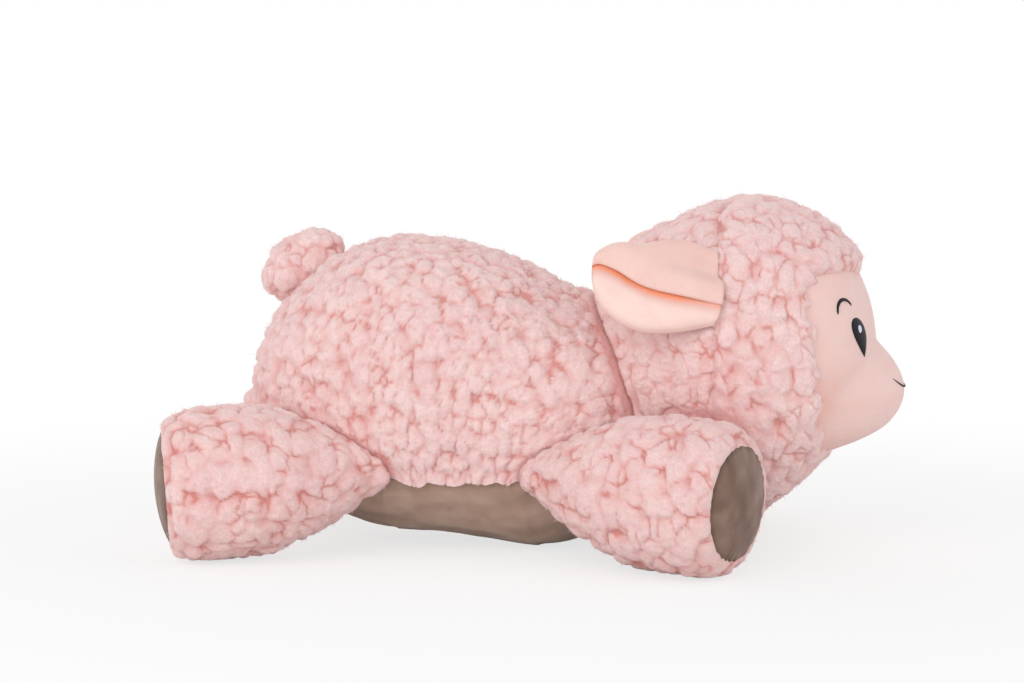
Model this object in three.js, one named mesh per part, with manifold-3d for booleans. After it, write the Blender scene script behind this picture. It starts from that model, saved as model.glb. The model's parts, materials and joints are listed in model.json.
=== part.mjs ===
// A plush sheep lying on its belly with all four legs stretched out.
// Fleece covers the back, the head, the legs and the tail, short-pile cloth the belly, the soles,
// the face and the ears, and every form is stuffed.
// Millimetres. +X runs forward to the face, +Y to the animal's left and +Z up.
// The origin is the middle of the flat on which the chest rests.
import * as THREE from 'three';
import { mergeVertices } from 'three/addons/utils/BufferGeometryUtils.js';
import Module from 'manifold-3d';

const wasm = await Module();
wasm.setup();

// Cloth, seams and clearances
const clothThickness = 3.2; // backing with its pile pressed flat
const seamGap = 0.3; // between pieces sewn edge to edge
const stuffingGap = 0.3; // between a cover and its stuffing
const jointGap = 0.7; // between two stuffed forms that turn on each other
const tuckGap = 1.4; // between a rounded root and the tuck that it turns in
const restFlat = 0.5; // depth to which a form is pressed flat by the ground
const overrun = 4; // how far a cutting solid runs past what it cuts
const weld = 1e-4; // vertices nearer than this are one

// Body: a loaf with its highest point over the hips, and a barrel-shaped chest that the head turns on.
// swell, keel, plan and girth are how square a form's back, underside, plan and section are: 2 is an ellipse.
const hip = { x: -65, z: 74 }; // the widest and highest station
const body = {
  back: 70, front: 105, half: 68, up: 69, down: 68, swell: 1.85, keel: 2, plan: 3, girth: 2.4, rings: 12, sides: 24,
};
const chest = { x: 0, radius: 60.5, half: 63, girth: 2.4, steps: 8, sides: 24 };
const bellySeamHeight = 36;

// Head: the fleece behind the ear seam is pulled in, the fleece before it stands up as a mane
const head = { x: 95, z: 91, back: 74, front: 64.5, swell: 2.15, girth: 2.2, rings: 12, sides: 24 };
const mane = { half: 66, up: 72, down: 72 };
const maneRise = 5; // the mane stands this far above the fleece behind the seam
const earSeamX = 86;
const faceSeamX = 130; // the face is let into the fleece in front of this plane
const fringeHeight = 128; // below this one
const chinHeight = 46; // and above this one
const faceRecess = 4.5; // the face lies this far below the fleece round it
const face = { rings: 20, sides: 24 };
const muzzle = { z: 60, reach: 23, half: 38, up: 36, down: 18, round: 1.2 };
const chin = { tuck: 28, curve: 1.25 }; // how far back the head's underside lies, and how late it turns back
const nodUp = 10; // degrees
const nodDown = 8; // degrees

// Legs: a narrow rounded root sits in a tuck of the belly seam and the leg swells to its sole
const leg = { radius: 34, padRadius: 24, rim: 16, padDome: 4, swellShare: 0.8, rounds: 2, steps: 5, sides: 16 };
const rootSink = 2; // the root's centre lies this far inside the body's cover
const legSplay = 30; // degrees outwards
const frontLeg = { name: 'front', x: 8, z: 39, root: 15, footX: 100, footY: 97 };
const hindLeg = { name: 'hind', x: -68, z: 40, root: 12, footX: -159, footY: 87 };

// Tail: a small stuffed ball sewn on over the rump
const tail = { x: -108, root: 11, length: 21, half: 17, thick: 15, lean: 34, rings: 8, sides: 16 };
const tailReach = 8; // from the root's centre to the ball's centre
const tailTurningHole = 3; // radius of the gap that it is stuffed through, under its root
const tailWag = 12; // degrees to each side

// Ears: two layers of cloth folded lengthways and sewn into the seam behind the mane
const ear = { length: 56, half: 21, rootHalf: 17, depth: 5.5, cloth: 1.6, bead: 2.6, beadSides: 12 };
const earRootLow = { y: 63, z: 109 };
const earRootHigh = { y: 47.5, z: 143 };
const earFold = { lower: -78, upperAtRoot: 196, upperAtTip: 120, steps: 8, stations: 6, lastShare: 0.985 };
const earFlare = 9; // degrees away from the head at rest
const earLift = 60; // degrees away from the head

// Embroidery: thread laid on the face
const threadHeight = 0.9;
const eye = { y: 30, belowFringe: 27.5, turn: 33, half: 5.4, high: 9, corners: 20 };
const glint = { out: 0.6, up: 3.9, half: 1.1, high: 1.9, corners: 10 };
const brow = { y: 36, belowFringe: 15.7, turn: 40, radius: 5.5, width: 1.1, from: 20, to: 150, corners: 6 };
const mouth = { y: 0, aboveMuzzle: 36, turn: 0, radius: 20, width: 1.1, from: 228, to: 312, corners: 8 };
const needleReach = 30; // depth of the prism that cuts a stitched figure out of the thread

// Facets
const ballSides = 12;
const hiddenShare = 0.6; // inner surfaces have this share of the outer ones' facets

function cloth(colour, roughness) {
  return () => new THREE.MeshStandardMaterial({ color: colour, roughness, metalness: 0 });
}

const fleece = cloth('#ebc8c8', 0.95);
const facePile = cloth('#ebc8be', 0.85);
const earPile = cloth('#fadcd2', 0.85);
const bellyPile = cloth('#968578', 0.85);
const solePile = cloth('#7d6e64', 0.85);
const stuffing = cloth('#f4f2ee', 1);
const blackThread = cloth('#15131a', 0.5);
const paleThread = cloth('#d8d6ee', 0.5);

// Every stuffed form is made three times: its outside, the lining of its cloth and its stuffing.
const layers = {
  outside: { depth: 0, hidden: false },
  lining: { depth: clothThickness, hidden: true },
  core: { depth: clothThickness + stuffingGap, hidden: true },
};

const radians = THREE.MathUtils.degToRad;
const { lerp } = THREE.MathUtils;
const signedPower = (value, exponent) => Math.sign(value) * Math.abs(value) ** exponent;

// Facet counts are multiples of four, so a form keeps a corner at its lowest point.
const facetCount = (count, layer) => (layer.hidden ? 4 * Math.round((count * hiddenShare) / 4) : count);

const acrossAxis = new THREE.Vector3(0, 1, 0);
const uprightAxis = new THREE.Vector3(0, 0, 1);

// Solids

function solidFrom(geometry) {
  geometry.deleteAttribute('normal');
  geometry.deleteAttribute('uv');
  const merged = mergeVertices(geometry, weld);
  const { position } = merged.attributes;
  const triVerts = new Uint32Array(merged.index.array);
  return new wasm.Manifold(new wasm.Mesh({ numProp: 3, vertProperties: position.array, triVerts }));
}

const moved = (solid, matrix) => solid.transform(matrix.elements);
const union = (solids) => solids.reduce((joined, next) => joined.add(next));

function indexedSolid(points, index) {
  const geometry = new THREE.BufferGeometry();
  const numbers = points.flatMap((point) => point.toArray());
  geometry.setAttribute('position', new THREE.Float32BufferAttribute(numbers, 3));
  geometry.setIndex(index);
  return solidFrom(geometry);
}

// A grid of rows of points, each row closed on itself, with a point at either end.
function gridSolid(rows, start, end) {
  const sides = rows[0].length;
  const points = [start, ...rows.flat(), end];
  const last = points.length - 1;
  const index = [];
  for (let side = 0; side < sides; side++) {
    const next = (side + 1) % sides;
    index.push(0, 1 + next, 1 + side);
    index.push(last, last - sides + side, last - sides + next);
    for (let row = 0; row + 1 < rows.length; row++) {
      const here = 1 + row * sides;
      const there = here + sides;
      index.push(here + side, here + next, there + next);
      index.push(here + side, there + next, there + side);
    }
  }
  return indexedSolid(points, index);
}

// A sheet of cloth: two open grids of points face to face, closed round their common border.
function sheetSolid(upper, lower) {
  const [rows, columns] = [upper.length, upper[0].length];
  const at = (row, column, side) => (side * rows + row) * columns + column;
  const index = [];
  const quad = (a, b, c, d) => index.push(a, b, c, a, c, d);
  for (let row = 0; row < rows; row++) {
    for (let column = 0; column < columns; column++) {
      const [down, right] = [row + 1 < rows, column + 1 < columns];
      const lastRow = rows - 1;
      const lastColumn = columns - 1;
      if (down && right) {
        quad(at(row, column, 0), at(row, column + 1, 0), at(row + 1, column + 1, 0), at(row + 1, column, 0));
        quad(at(row, column, 1), at(row + 1, column, 1), at(row + 1, column + 1, 1), at(row, column + 1, 1));
      }
      if (right && row === 0) quad(at(0, column, 0), at(0, column, 1), at(0, column + 1, 1), at(0, column + 1, 0));
      if (right && row === lastRow) {
        quad(at(row, column, 0), at(row, column + 1, 0), at(row, column + 1, 1), at(row, column, 1));
      }
      if (down && column === 0) quad(at(row, 0, 0), at(row + 1, 0, 0), at(row + 1, 0, 1), at(row, 0, 1));
      if (down && column === lastColumn) {
        quad(at(row, column, 0), at(row, column, 1), at(row + 1, column, 1), at(row + 1, column, 0));
      }
    }
  }
  return indexedSolid([...upper.flat(), ...lower.flat()], index);
}

// A superellipsoid with its own reach forward, back, up and down from its centre,
// grown all round by one thickness. Its front may be shaped by a shift forward at each place.
function stuffedForm(form, grow, layer) {
  const { x, z, front, back, half, up, down, swell, girth, keel = swell, plan = swell, shift = () => 0 } = form;
  const rings = facetCount(form.rings, layer);
  const sides = facetCount(form.sides, layer);
  const rows = [];
  for (let ring = 1; ring < rings; ring++) {
    const turn = Math.PI * (ring / rings - 1 / 2);
    const reach = Math.sin(turn) > 0 ? front : back;
    const along = (reach + grow) * signedPower(Math.sin(turn), 2 / swell);
    const topShare = Math.cos(turn) ** (2 / swell);
    const keelShare = Math.cos(turn) ** (2 / keel);
    const planShare = Math.cos(turn) ** (2 / plan);
    const row = [];
    for (let side = 0; side < sides; side++) {
      const angle = (2 * Math.PI * side) / sides;
      const rise = Math.sin(angle) > 0 ? topShare * (up + grow) : keelShare * (down + grow);
      const across = planShare * (half + grow) * signedPower(Math.cos(angle), 2 / girth);
      const height = rise * signedPower(Math.sin(angle), 2 / girth);
      const shifted = Math.max(0, Math.sin(turn)) * shift(across, z + height);
      row.push(new THREE.Vector3(x + along + shifted, across, z + height));
    }
    rows.push(row);
  }
  const start = new THREE.Vector3(x - back - grow, 0, z);
  const end = new THREE.Vector3(x + front + grow + shift(0, z), 0, z);
  return gridSolid(rows, start, end);
}

// A solid of revolution about a line from a point, its profile given as [radius, distance along].
function turned(profile, sides, from, direction) {
  const geometry = new THREE.LatheGeometry(profile.map(([r, s]) => new THREE.Vector2(r, s)), sides);
  geometry.applyQuaternion(new THREE.Quaternion().setFromUnitVectors(acrossAxis, direction));
  geometry.translate(from.x, from.y, from.z);
  return solidFrom(geometry);
}

const rod = (radius, low, high) => [[0, low], [radius, low], [radius, high], [0, high]];

function ball(centre, radius) {
  const geometry = new THREE.SphereGeometry(radius, ballSides, ballSides / 2);
  geometry.translate(centre.x, centre.y, centre.z);
  return solidFrom(geometry);
}

// All of space between two stations and two heights.
const farAway = 2 * (head.x + head.front);
function region({ x = [-farAway, farAway], z = [-farAway, farAway] }) {
  const geometry = new THREE.BoxGeometry(x[1] - x[0], 2 * farAway, z[1] - z[0]);
  geometry.translate((x[0] + x[1]) / 2, 0, (z[0] + z[1]) / 2);
  return solidFrom(geometry);
}

function turnAbout(pivot, axis, degrees) {
  const matrix = new THREE.Matrix4().makeTranslation(pivot.x, pivot.y, pivot.z);
  matrix.multiply(new THREE.Matrix4().makeRotationAxis(axis, radians(degrees)));
  return matrix.multiply(new THREE.Matrix4().makeTranslation(-pivot.x, -pivot.y, -pivot.z));
}

// Body: its form, its room when other forms are cut by it, and its sizes at a place

const loaf = (grow, layer) => stuffedForm({ ...body, ...hip }, grow, layer);

// The chest is a solid of revolution about a line across the neck, so the head can nod on it.
// The ground presses it flat below.
const neckPivot = new THREE.Vector3(chest.x, 0, chest.radius - restFlat);

function chestBarrel(grow, layer) {
  const steps = facetCount(chest.steps, layer);
  const profile = [];
  for (let step = 0; step <= steps; step++) {
    const angle = Math.PI * (step / steps - 1 / 2);
    const radius = (chest.radius + grow) * Math.abs(Math.cos(angle)) ** (2 / chest.girth);
    const along = (chest.half + grow) * signedPower(Math.sin(angle), 2 / chest.girth);
    profile.push([step % steps ? radius : 0, along]);
  }
  return turned(profile, facetCount(chest.sides, layer), neckPivot, acrossAxis);
}

// The belly runs from the loaf to the chest without a dip: the lower halves of their widest sections, joined.
function underbelly(grow, layer) {
  const sides = facetCount(body.sides, layer);
  const lowerHalf = ({ x, z }, half, down) => Array.from({ length: sides / 2 + 1 }, (_, side) => {
    const angle = Math.PI * ((2 * side) / sides - 1);
    const across = (half + grow) * signedPower(Math.cos(angle), 2 / body.girth);
    return new THREE.Vector3(x, across, z + (down + grow) * signedPower(Math.sin(angle), 2 / body.girth));
  });
  const within = ({ x, z }, down) => new THREE.Vector3(x, 0, z - down / 2);
  const rows = [lowerHalf(hip, body.half, body.down), lowerHalf(neckPivot, chest.half, chest.radius)];
  return gridSolid(rows, within(hip, body.down), within(neckPivot, chest.radius));
}

const trunkBack = (grow, layer) => loaf(grow, layer).add(underbelly(grow, layer));
const bodyForm = (layer) => trunkBack(-layer.depth, layer).add(chestBarrel(-layer.depth, layer));

// The room that the body takes from what lies against it, at the depth of a layer of that piece.
const loafRoom = ({ depth }) => trunkBack(jointGap + depth, layers.outside);
const chestRoom = ({ depth }) => chestBarrel(jointGap + depth, layers.outside);

function loafShare(x, exponent) {
  const reach = x > hip.x ? body.front : body.back;
  return Math.max(0, 1 - (Math.abs(x - hip.x) / reach) ** body.swell) ** (1 / exponent);
}

function bodyHalfWidth(x, z) {
  const rise = z > hip.z ? body.up * loafShare(x, body.swell) : body.down * loafShare(x, body.keel);
  const leftOver = 1 - (Math.abs(z - hip.z) / rise) ** body.girth;
  const loafWidth = body.half * loafShare(x, body.plan) * Math.max(0, leftOver) ** (1 / body.girth);
  const radiusShare = Math.min(1, Math.hypot(x - neckPivot.x, z - neckPivot.z) / chest.radius);
  const chestWidth = chest.half * (1 - radiusShare ** chest.girth) ** (1 / chest.girth);
  return Math.max(loafWidth, chestWidth);
}

// Places of the joints

const tailPivot = new THREE.Vector3(tail.x, 0, hip.z + body.up * loafShare(tail.x, body.swell) - rootSink);

const legPlaces = [frontLeg, hindLeg].flatMap((kind) => [-1, 1].map((side) => {
  const rootY = bodyHalfWidth(kind.x, kind.z) - rootSink;
  const pivot = new THREE.Vector3(kind.x, side * rootY, kind.z);
  const foot = new THREE.Vector3(kind.footX, side * kind.footY, leg.radius - restFlat);
  const direction = new THREE.Vector3().subVectors(foot, pivot).normalize();
  const name = `${kind.name}_${side < 0 ? 'right' : 'left'}_leg`;
  const outwardTurn = side * Math.sign(direction.x);
  return { name, kind, pivot, direction, outwardTurn, length: pivot.distanceTo(foot), root: kind.root };
}));

const earPlaces = [-1, 1].map((side) => {
  const low = new THREE.Vector3(earSeamX, side * earRootLow.y, earRootLow.z);
  const high = new THREE.Vector3(earSeamX, side * earRootHigh.y, earRootHigh.z);
  const axis = new THREE.Vector3().subVectors(high, low).normalize();
  const middle = new THREE.Vector3().addVectors(low, high).divideScalar(2);
  const outwards = new THREE.Vector3(0, side * axis.z, -side * axis.y).normalize();
  return { name: `${side < 0 ? 'right' : 'left'}_ear`, side, low, high, axis, middle, outwards };
});

// The scene graph: each moving form is a group at its own pivot

const sheep = new THREE.Group();

function jointGroup(pivot, parent) {
  const group = new THREE.Group();
  group.position.copy(pivot).sub(parent.getWorldPosition(new THREE.Vector3()));
  parent.add(group);
  return group;
}

function placed(name, solid, material, group) {
  const { numProp, vertProperties, triVerts } = solid.getMesh();
  const geometry = new THREE.BufferGeometry();
  geometry.setAttribute('position', new THREE.Float32BufferAttribute(vertProperties, numProp));
  geometry.setIndex(new THREE.Uint32BufferAttribute(triVerts, 1));
  const origin = group.getWorldPosition(new THREE.Vector3());
  geometry.translate(-origin.x, -origin.y, -origin.z);
  geometry.computeVertexNormals();
  const mesh = new THREE.Mesh(geometry, material());
  mesh.name = name;
  group.add(mesh);
}

function layered(make) {
  const [outside, lining, core] = [layers.outside, layers.lining, layers.core].map(make);
  return { cover: outside.subtract(lining), core };
}

// Body pieces, with a tuck at each root

const tucks = (layer) => union([
  ...legPlaces.map(({ pivot, root }) => ball(pivot, root + tuckGap + layer.depth)),
  ball(tailPivot, tail.root + tuckGap + layer.depth),
]);

const trunk = layered((layer) => (
  bodyForm(layer).intersect(region({ z: [layer.depth, farAway] })).subtract(tucks(layer))
));
const overSeam = region({ z: [bellySeamHeight + seamGap / 2, farAway] });
const underSeam = region({ z: [-farAway, bellySeamHeight - seamGap / 2] });
placed('back_cover', trunk.cover.intersect(overSeam), fleece, sheep);
placed('belly_panel', trunk.cover.intersect(underSeam), bellyPile, sheep);
placed('body_filling', trunk.core, stuffing, sheep);

// Head pieces: the nape behind the ear seam, the mane before it and the face let into the mane

function insetHead(rise) {
  const size = { half: mane.half - rise, up: mane.up - rise, down: mane.down - rise };
  const shift = (_, height) => -chin.tuck * (Math.max(0, head.z - height) / mane.down) ** chin.curve;
  return { ...head, ...size, front: head.front - rise, shift };
}

function headForm(rise, grow, layer) {
  return stuffedForm(insetHead(rise), grow, layer);
}

// The muzzle is a smooth bulge of the face.
function muzzleRise(across, height) {
  const tall = height > muzzle.z ? muzzle.up : muzzle.down;
  const outness = Math.hypot(across / muzzle.half, (height - muzzle.z) / tall);
  return muzzle.reach * Math.max(0, 1 - outness ** 2) ** muzzle.round;
}

function facePlan() {
  const plain = insetHead(faceRecess);
  const shift = (across, height) => plain.shift(across, height) + muzzleRise(across, height);
  return { ...plain, ...face, shift };
}

const faceForm = (grow, layer) => stuffedForm(facePlan(), grow, layer);
const faceOpening = (gap) => region({
  x: [faceSeamX - gap, farAway], z: [chinHeight - gap, fringeHeight + gap],
});

function earBead({ low, high, axis }, grow) {
  const profile = rod(ear.bead + grow, -grow, low.distanceTo(high) + grow);
  return turned(profile, ear.beadSides, low, axis);
}

// What the body and the ears' roots take from the head, at rest and nodded up and down.
function headCuts(layer) {
  const nods = [nodUp, 0, -nodDown];
  const nodded = nods.map((nod) => moved(loafRoom(layer), turnAbout(neckPivot, acrossAxis, nod)));
  const beads = earPlaces.map((place) => earBead(place, jointGap + layer.depth));
  return union([chestRoom(layer), ...nodded, ...beads]);
}

function headPieces(layer, gap) {
  const grow = -layer.depth;
  const behindSeam = region({ x: [-farAway, earSeamX - gap / 2] });
  const beforeSeam = region({ x: [earSeamX + gap / 2, farAway] });
  const cuts = headCuts(layer);
  return {
    nape: headForm(maneRise, grow, layer).intersect(behindSeam).subtract(cuts),
    front: headForm(0, grow, layer).intersect(beforeSeam).subtract(faceOpening(gap)).subtract(cuts),
    face: faceForm(grow, layer).intersect(beforeSeam),
  };
}

const headGroup = jointGroup(neckPivot, sheep);
const headOutside = headPieces(layers.outside, seamGap);
const headHollow = union(Object.values(headPieces(layers.lining, 0)));
placed('head_back_cover', headOutside.nape.subtract(headHollow), fleece, headGroup);
placed('head_front_cover', headOutside.front.subtract(headHollow), fleece, headGroup);
placed('face_panel', headOutside.face.intersect(faceOpening(0)).subtract(headHollow), facePile, headGroup);
placed('head_filling', union(Object.values(headPieces(layers.core, 0))), stuffing, headGroup);

// Embroidery: each figure is cut out of a layer of thread that follows the face

// How far forward a form reaches at a place on its front.
function frontReach({ x, z, front, half, up, down, swell, girth, shift }, across, height) {
  const rise = height > z ? up : down;
  const ringShare = ((Math.abs(across) / half) ** girth + (Math.abs(height - z) / rise) ** girth) ** (1 / girth);
  const leftOver = Math.max(0, 1 - ringShare ** swell);
  return x + front * leftOver ** (1 / swell) + Math.sqrt(leftOver) * shift(across, height);
}

const threadLayer = faceForm(seamGap + threadHeight, layers.outside).subtract(
  faceForm(seamGap, layers.outside),
);

// A flat figure pushed through the thread where it is sewn, turned sideways to face the same way.
function stitched(shape, { y, z, turn }, side) {
  const geometry = new THREE.ExtrudeGeometry(shape, { depth: needleReach, bevelEnabled: false });
  const sideways = new THREE.Matrix4().makeRotationAxis(uprightAxis, radians(side * turn));
  const outwards = new THREE.Vector3(1, 0, 0).applyMatrix4(sideways);
  const rightwards = acrossAxis.clone().applyMatrix4(sideways);
  const reach = frontReach(facePlan(), y, z);
  const start = new THREE.Vector3(reach, side * y, z).addScaledVector(outwards, -needleReach / 2);
  geometry.applyMatrix4(new THREE.Matrix4().makeBasis(rightwards, uprightAxis, outwards).setPosition(start));
  return threadLayer.intersect(solidFrom(geometry));
}

const curveShape = (corners, pointAt) => (
  new THREE.Shape(Array.from({ length: corners }, (_, corner) => new THREE.Vector2(...pointAt(corner))))
);

const glintShape = (side, grow) => curveShape(glint.corners, (corner) => {
  const angle = (2 * Math.PI * corner) / glint.corners;
  const across = side * glint.out + (glint.half + grow) * Math.cos(angle);
  return [across, glint.up + (glint.high + grow) * Math.sin(angle)];
});

// A drop that is round above and comes to a point below, with a hole for the glint.
function eyeShape(side) {
  const drop = curveShape(eye.corners, (corner) => {
    const angle = Math.PI * (2 * (corner / eye.corners) - 1 / 2);
    const narrowing = Math.sqrt((1 + Math.sin(angle)) / 2);
    return [eye.half * Math.cos(angle) * narrowing, eye.high * Math.sin(angle)];
  });
  drop.holes.push(glintShape(side, seamGap));
  return drop;
}

// A thin stroke along an arc, pointed at both ends.
const strokeShape = ({ radius, width, from, to, corners }, side) => curveShape(2 * corners, (corner) => {
  const goingBack = corner >= corners;
  const share = (corner % corners) / corners;
  const angle = radians(goingBack ? lerp(to, from, share) : lerp(from, to, share));
  const reach = radius + (goingBack ? -1 : 1) * (width / 2) * Math.sin(Math.PI * share);
  return [side * reach * Math.cos(angle), reach * Math.sin(angle)];
});

const belowFringe = (figure) => ({ ...figure, z: fringeHeight - figure.belowFringe });

for (const [name, side] of [['right', -1], ['left', 1]]) {
  placed(`${name}_eye`, stitched(eyeShape(side), belowFringe(eye), side), blackThread, headGroup);
  placed(`${name}_eye_glint`, stitched(glintShape(side, 0), belowFringe(eye), side), paleThread, headGroup);
  placed(`${name}_brow`, stitched(strokeShape(brow, side), belowFringe(brow), side), blackThread, headGroup);
}
const smile = { ...mouth, z: muzzle.z + mouth.aboveMuzzle };
placed('mouth', stitched(strokeShape(mouth, 1), smile, 1), blackThread, headGroup);

// Legs, cut by the body, and the front ones by the head as well

// Outline of a leg from its rounded root to the rim round its sole.
function legProfile({ root, length }, { depth, hidden }) {
  const steps = hidden ? leg.steps - 1 : leg.steps;
  const profile = [];
  for (let step = 0; step < leg.rounds; step++) {
    const angle = (Math.PI / 2) * (step / leg.rounds - 1);
    profile.push([step ? (root - depth) * Math.cos(angle) : 0, (root - depth) * Math.sin(angle)]);
  }
  const straight = length - leg.rim;
  for (let step = 0; step <= steps; step++) {
    const share = step / steps;
    const swell = Math.sin((Math.PI / 2) * Math.min(1, share / leg.swellShare));
    profile.push([lerp(root, leg.radius, swell) - depth, share * straight]);
  }
  for (let step = 1; step <= leg.rounds; step++) {
    const angle = (Math.PI / 2) * (step / leg.rounds);
    const inward = (leg.radius - leg.padRadius) * (1 - Math.cos(angle));
    profile.push([leg.radius - inward - depth, straight + (leg.rim - depth) * Math.sin(angle)]);
  }
  return [...profile, [0, length - depth]];
}

// The room that the head takes from the front legs, at rest and nodded up and down.
function headRoom({ depth }) {
  const grown = headForm(0, jointGap + depth, layers.outside);
  return union([-nodUp, 0, nodDown].map((nod) => moved(grown, turnAbout(neckPivot, acrossAxis, nod))));
}

// The room that the body takes from a leg, at rest and splayed. The leg's root keeps its own.
function trunkRoom({ pivot, root, outwardTurn }, layer) {
  const trunkForm = loafRoom(layer).add(chestRoom(layer));
  const splayed = moved(trunkForm, turnAbout(pivot, uprightAxis, -outwardTurn * legSplay));
  return trunkForm.add(splayed).subtract(ball(pivot, root - layer.depth));
}

function legSolid(place, layer) {
  const sides = facetCount(leg.sides, layer);
  const whole = turned(legProfile(place, layer), sides, place.pivot, place.direction);
  const cut = whole.intersect(region({ z: [layer.depth, farAway] })).subtract(trunkRoom(place, layer));
  return place.kind === frontLeg ? cut.subtract(headRoom(layer)) : cut;
}

for (const place of legPlaces) {
  const group = jointGroup(place.pivot, sheep);
  const shape = layered((layer) => legSolid(place, layer));
  const padBase = place.length - clothThickness;
  const hole = rod(leg.padRadius, padBase - overrun, place.length + overrun);
  const padEdge = leg.padRadius - seamGap;
  const dome = Array.from({ length: leg.rounds + 1 }, (_, step) => {
    const angle = (Math.PI / 2) * (step / leg.rounds);
    return [step < leg.rounds ? padEdge * Math.cos(angle) : 0, place.length + leg.padDome * Math.sin(angle)];
  });
  const pad = [[0, padBase], [padEdge, padBase], ...dome];
  const openSleeve = shape.cover.subtract(turned(hole, leg.sides, place.pivot, place.direction));
  placed(`${place.name}_cover`, openSleeve, fleece, group);
  placed(`${place.name}_sole`, turned(pad, leg.sides, place.pivot, place.direction), solePile, group);
  placed(`${place.name}_filling`, shape.core, stuffing, group);
}

// Tail, cut by the body at rest and wagged both ways

const leanRadians = radians(tail.lean);
const tailUp = new THREE.Vector3(-Math.sin(leanRadians), 0, Math.cos(leanRadians));
const tailAxis = new THREE.Vector3(Math.cos(leanRadians), 0, Math.sin(leanRadians));

function tailSolid(layer) {
  const shape = {
    ...tail, x: 0, z: tailReach, front: tail.length, back: tail.length, up: tail.thick, down: tail.thick,
    swell: 2, girth: 2,
  };
  const lean = new THREE.Matrix4().makeBasis(tailAxis, acrossAxis, tailUp).setPosition(tailPivot);
  const bodies = [-tailWag, 0, tailWag].map((wag) => moved(loafRoom(layer), turnAbout(tailPivot, tailAxis, wag)));
  const tuft = moved(stuffedForm(shape, -layer.depth, layer), lean).subtract(union(bodies));
  return tuft.add(ball(tailPivot, tail.root - layer.depth));
}

const tuft = layered(tailSolid);
const tailGroup = jointGroup(tailPivot, sheep);
const turningHole = turned(rod(tailTurningHole, -tail.root - overrun, 0), ballSides, tailPivot, tailUp);
placed('tail_cover', tuft.cover.subtract(turningHole), fleece, tailGroup);
placed('tail_filling', tuft.core, stuffing, tailGroup);

// Ears: a leaf whose upper side is folded over outwards, its two layers of cloth one inside the other

function earLayer(place, inset) {
  const away = radians(earFlare);
  const backwards = new THREE.Vector3(-Math.cos(away), 0, 0).addScaledVector(place.outwards, Math.sin(away));
  const out = new THREE.Vector3(Math.sin(away), 0, 0).addScaledVector(place.outwards, Math.cos(away));
  const [upperRows, lowerRows] = [[], []];
  for (let station = 0; station <= earFold.stations; station++) {
    const share = Math.sin((Math.PI / 2) * (station / earFold.stations)) * earFold.lastShare;
    const tipShare = Math.sqrt(1 - share ** 4);
    const half = lerp(ear.rootHalf, ear.half, Math.sin(Math.PI * share)) * tipShare;
    const deep = (ear.depth * (1 + tipShare)) / 2;
    const upper = lerp(earFold.upperAtRoot, earFold.upperAtTip, share);
    const along = ear.bead / 2 + share * (ear.length - ear.bead / 2 - inset);
    const arc = (shrink) => Array.from({ length: earFold.steps + 1 }, (_, step) => {
      const angle = radians(lerp(earFold.lower, upper, step / earFold.steps));
      return place.middle.clone().addScaledVector(backwards, along)
        .addScaledVector(place.axis, (half - shrink) * Math.sin(angle))
        .addScaledVector(out, ear.depth - (deep - shrink) * Math.cos(angle));
    });
    upperRows.push(arc(inset));
    lowerRows.push(arc(inset + ear.cloth));
  }
  return place.side > 0 ? sheetSolid(upperRows, lowerRows) : sheetSolid(lowerRows, upperRows);
}

for (const place of earPlaces) {
  const group = jointGroup(place.middle, headGroup);
  const lift = turnAbout(place.middle, place.axis, place.side * earLift);
  const mane = moved(headForm(0, jointGap, layers.outside), lift);
  const outer = earLayer(place, 0).subtract(mane).add(earBead(place, 0));
  const lining = earLayer(place, ear.cloth + seamGap).subtract(mane.add(earBead(place, seamGap)));
  placed(`${place.name}_outer`, outer, earPile, group);
  placed(`${place.name}_lining`, lining, earPile, group);
}

export default sheep;
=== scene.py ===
import json
import math
import bpy
import numpy as np
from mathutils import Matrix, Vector

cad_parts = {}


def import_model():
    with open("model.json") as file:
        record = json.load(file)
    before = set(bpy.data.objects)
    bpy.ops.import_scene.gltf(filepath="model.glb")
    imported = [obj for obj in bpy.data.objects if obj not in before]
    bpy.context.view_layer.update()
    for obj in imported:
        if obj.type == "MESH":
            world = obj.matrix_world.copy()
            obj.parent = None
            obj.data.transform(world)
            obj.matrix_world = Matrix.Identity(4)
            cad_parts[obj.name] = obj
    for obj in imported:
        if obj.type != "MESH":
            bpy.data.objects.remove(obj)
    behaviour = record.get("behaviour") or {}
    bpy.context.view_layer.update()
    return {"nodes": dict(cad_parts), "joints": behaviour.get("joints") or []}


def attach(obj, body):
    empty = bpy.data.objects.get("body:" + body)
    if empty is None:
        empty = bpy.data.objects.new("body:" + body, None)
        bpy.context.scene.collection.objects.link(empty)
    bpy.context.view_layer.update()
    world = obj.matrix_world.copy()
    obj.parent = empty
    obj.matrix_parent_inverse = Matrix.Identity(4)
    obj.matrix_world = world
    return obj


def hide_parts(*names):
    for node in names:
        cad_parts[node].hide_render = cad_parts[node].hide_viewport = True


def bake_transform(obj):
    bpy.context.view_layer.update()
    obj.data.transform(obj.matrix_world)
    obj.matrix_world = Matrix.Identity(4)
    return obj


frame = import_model()
print("frame loaded:", len(frame["nodes"]), "nodes")

# A plush sheep that lies on its belly. Shapes are worked out in millimetres and go into the meshes in metres.
mm = 0.001

# Camera: a long lens from the animal's right, a little to the front and a little above
view = {
    "azimuth": 9.3, "elevation": 4.9, "distance": 1300, "aim": (-14.9, 0, 94), "frameWidth": 481.5,
    "sensor": 36, "clip": (50, 20000),
}


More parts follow.
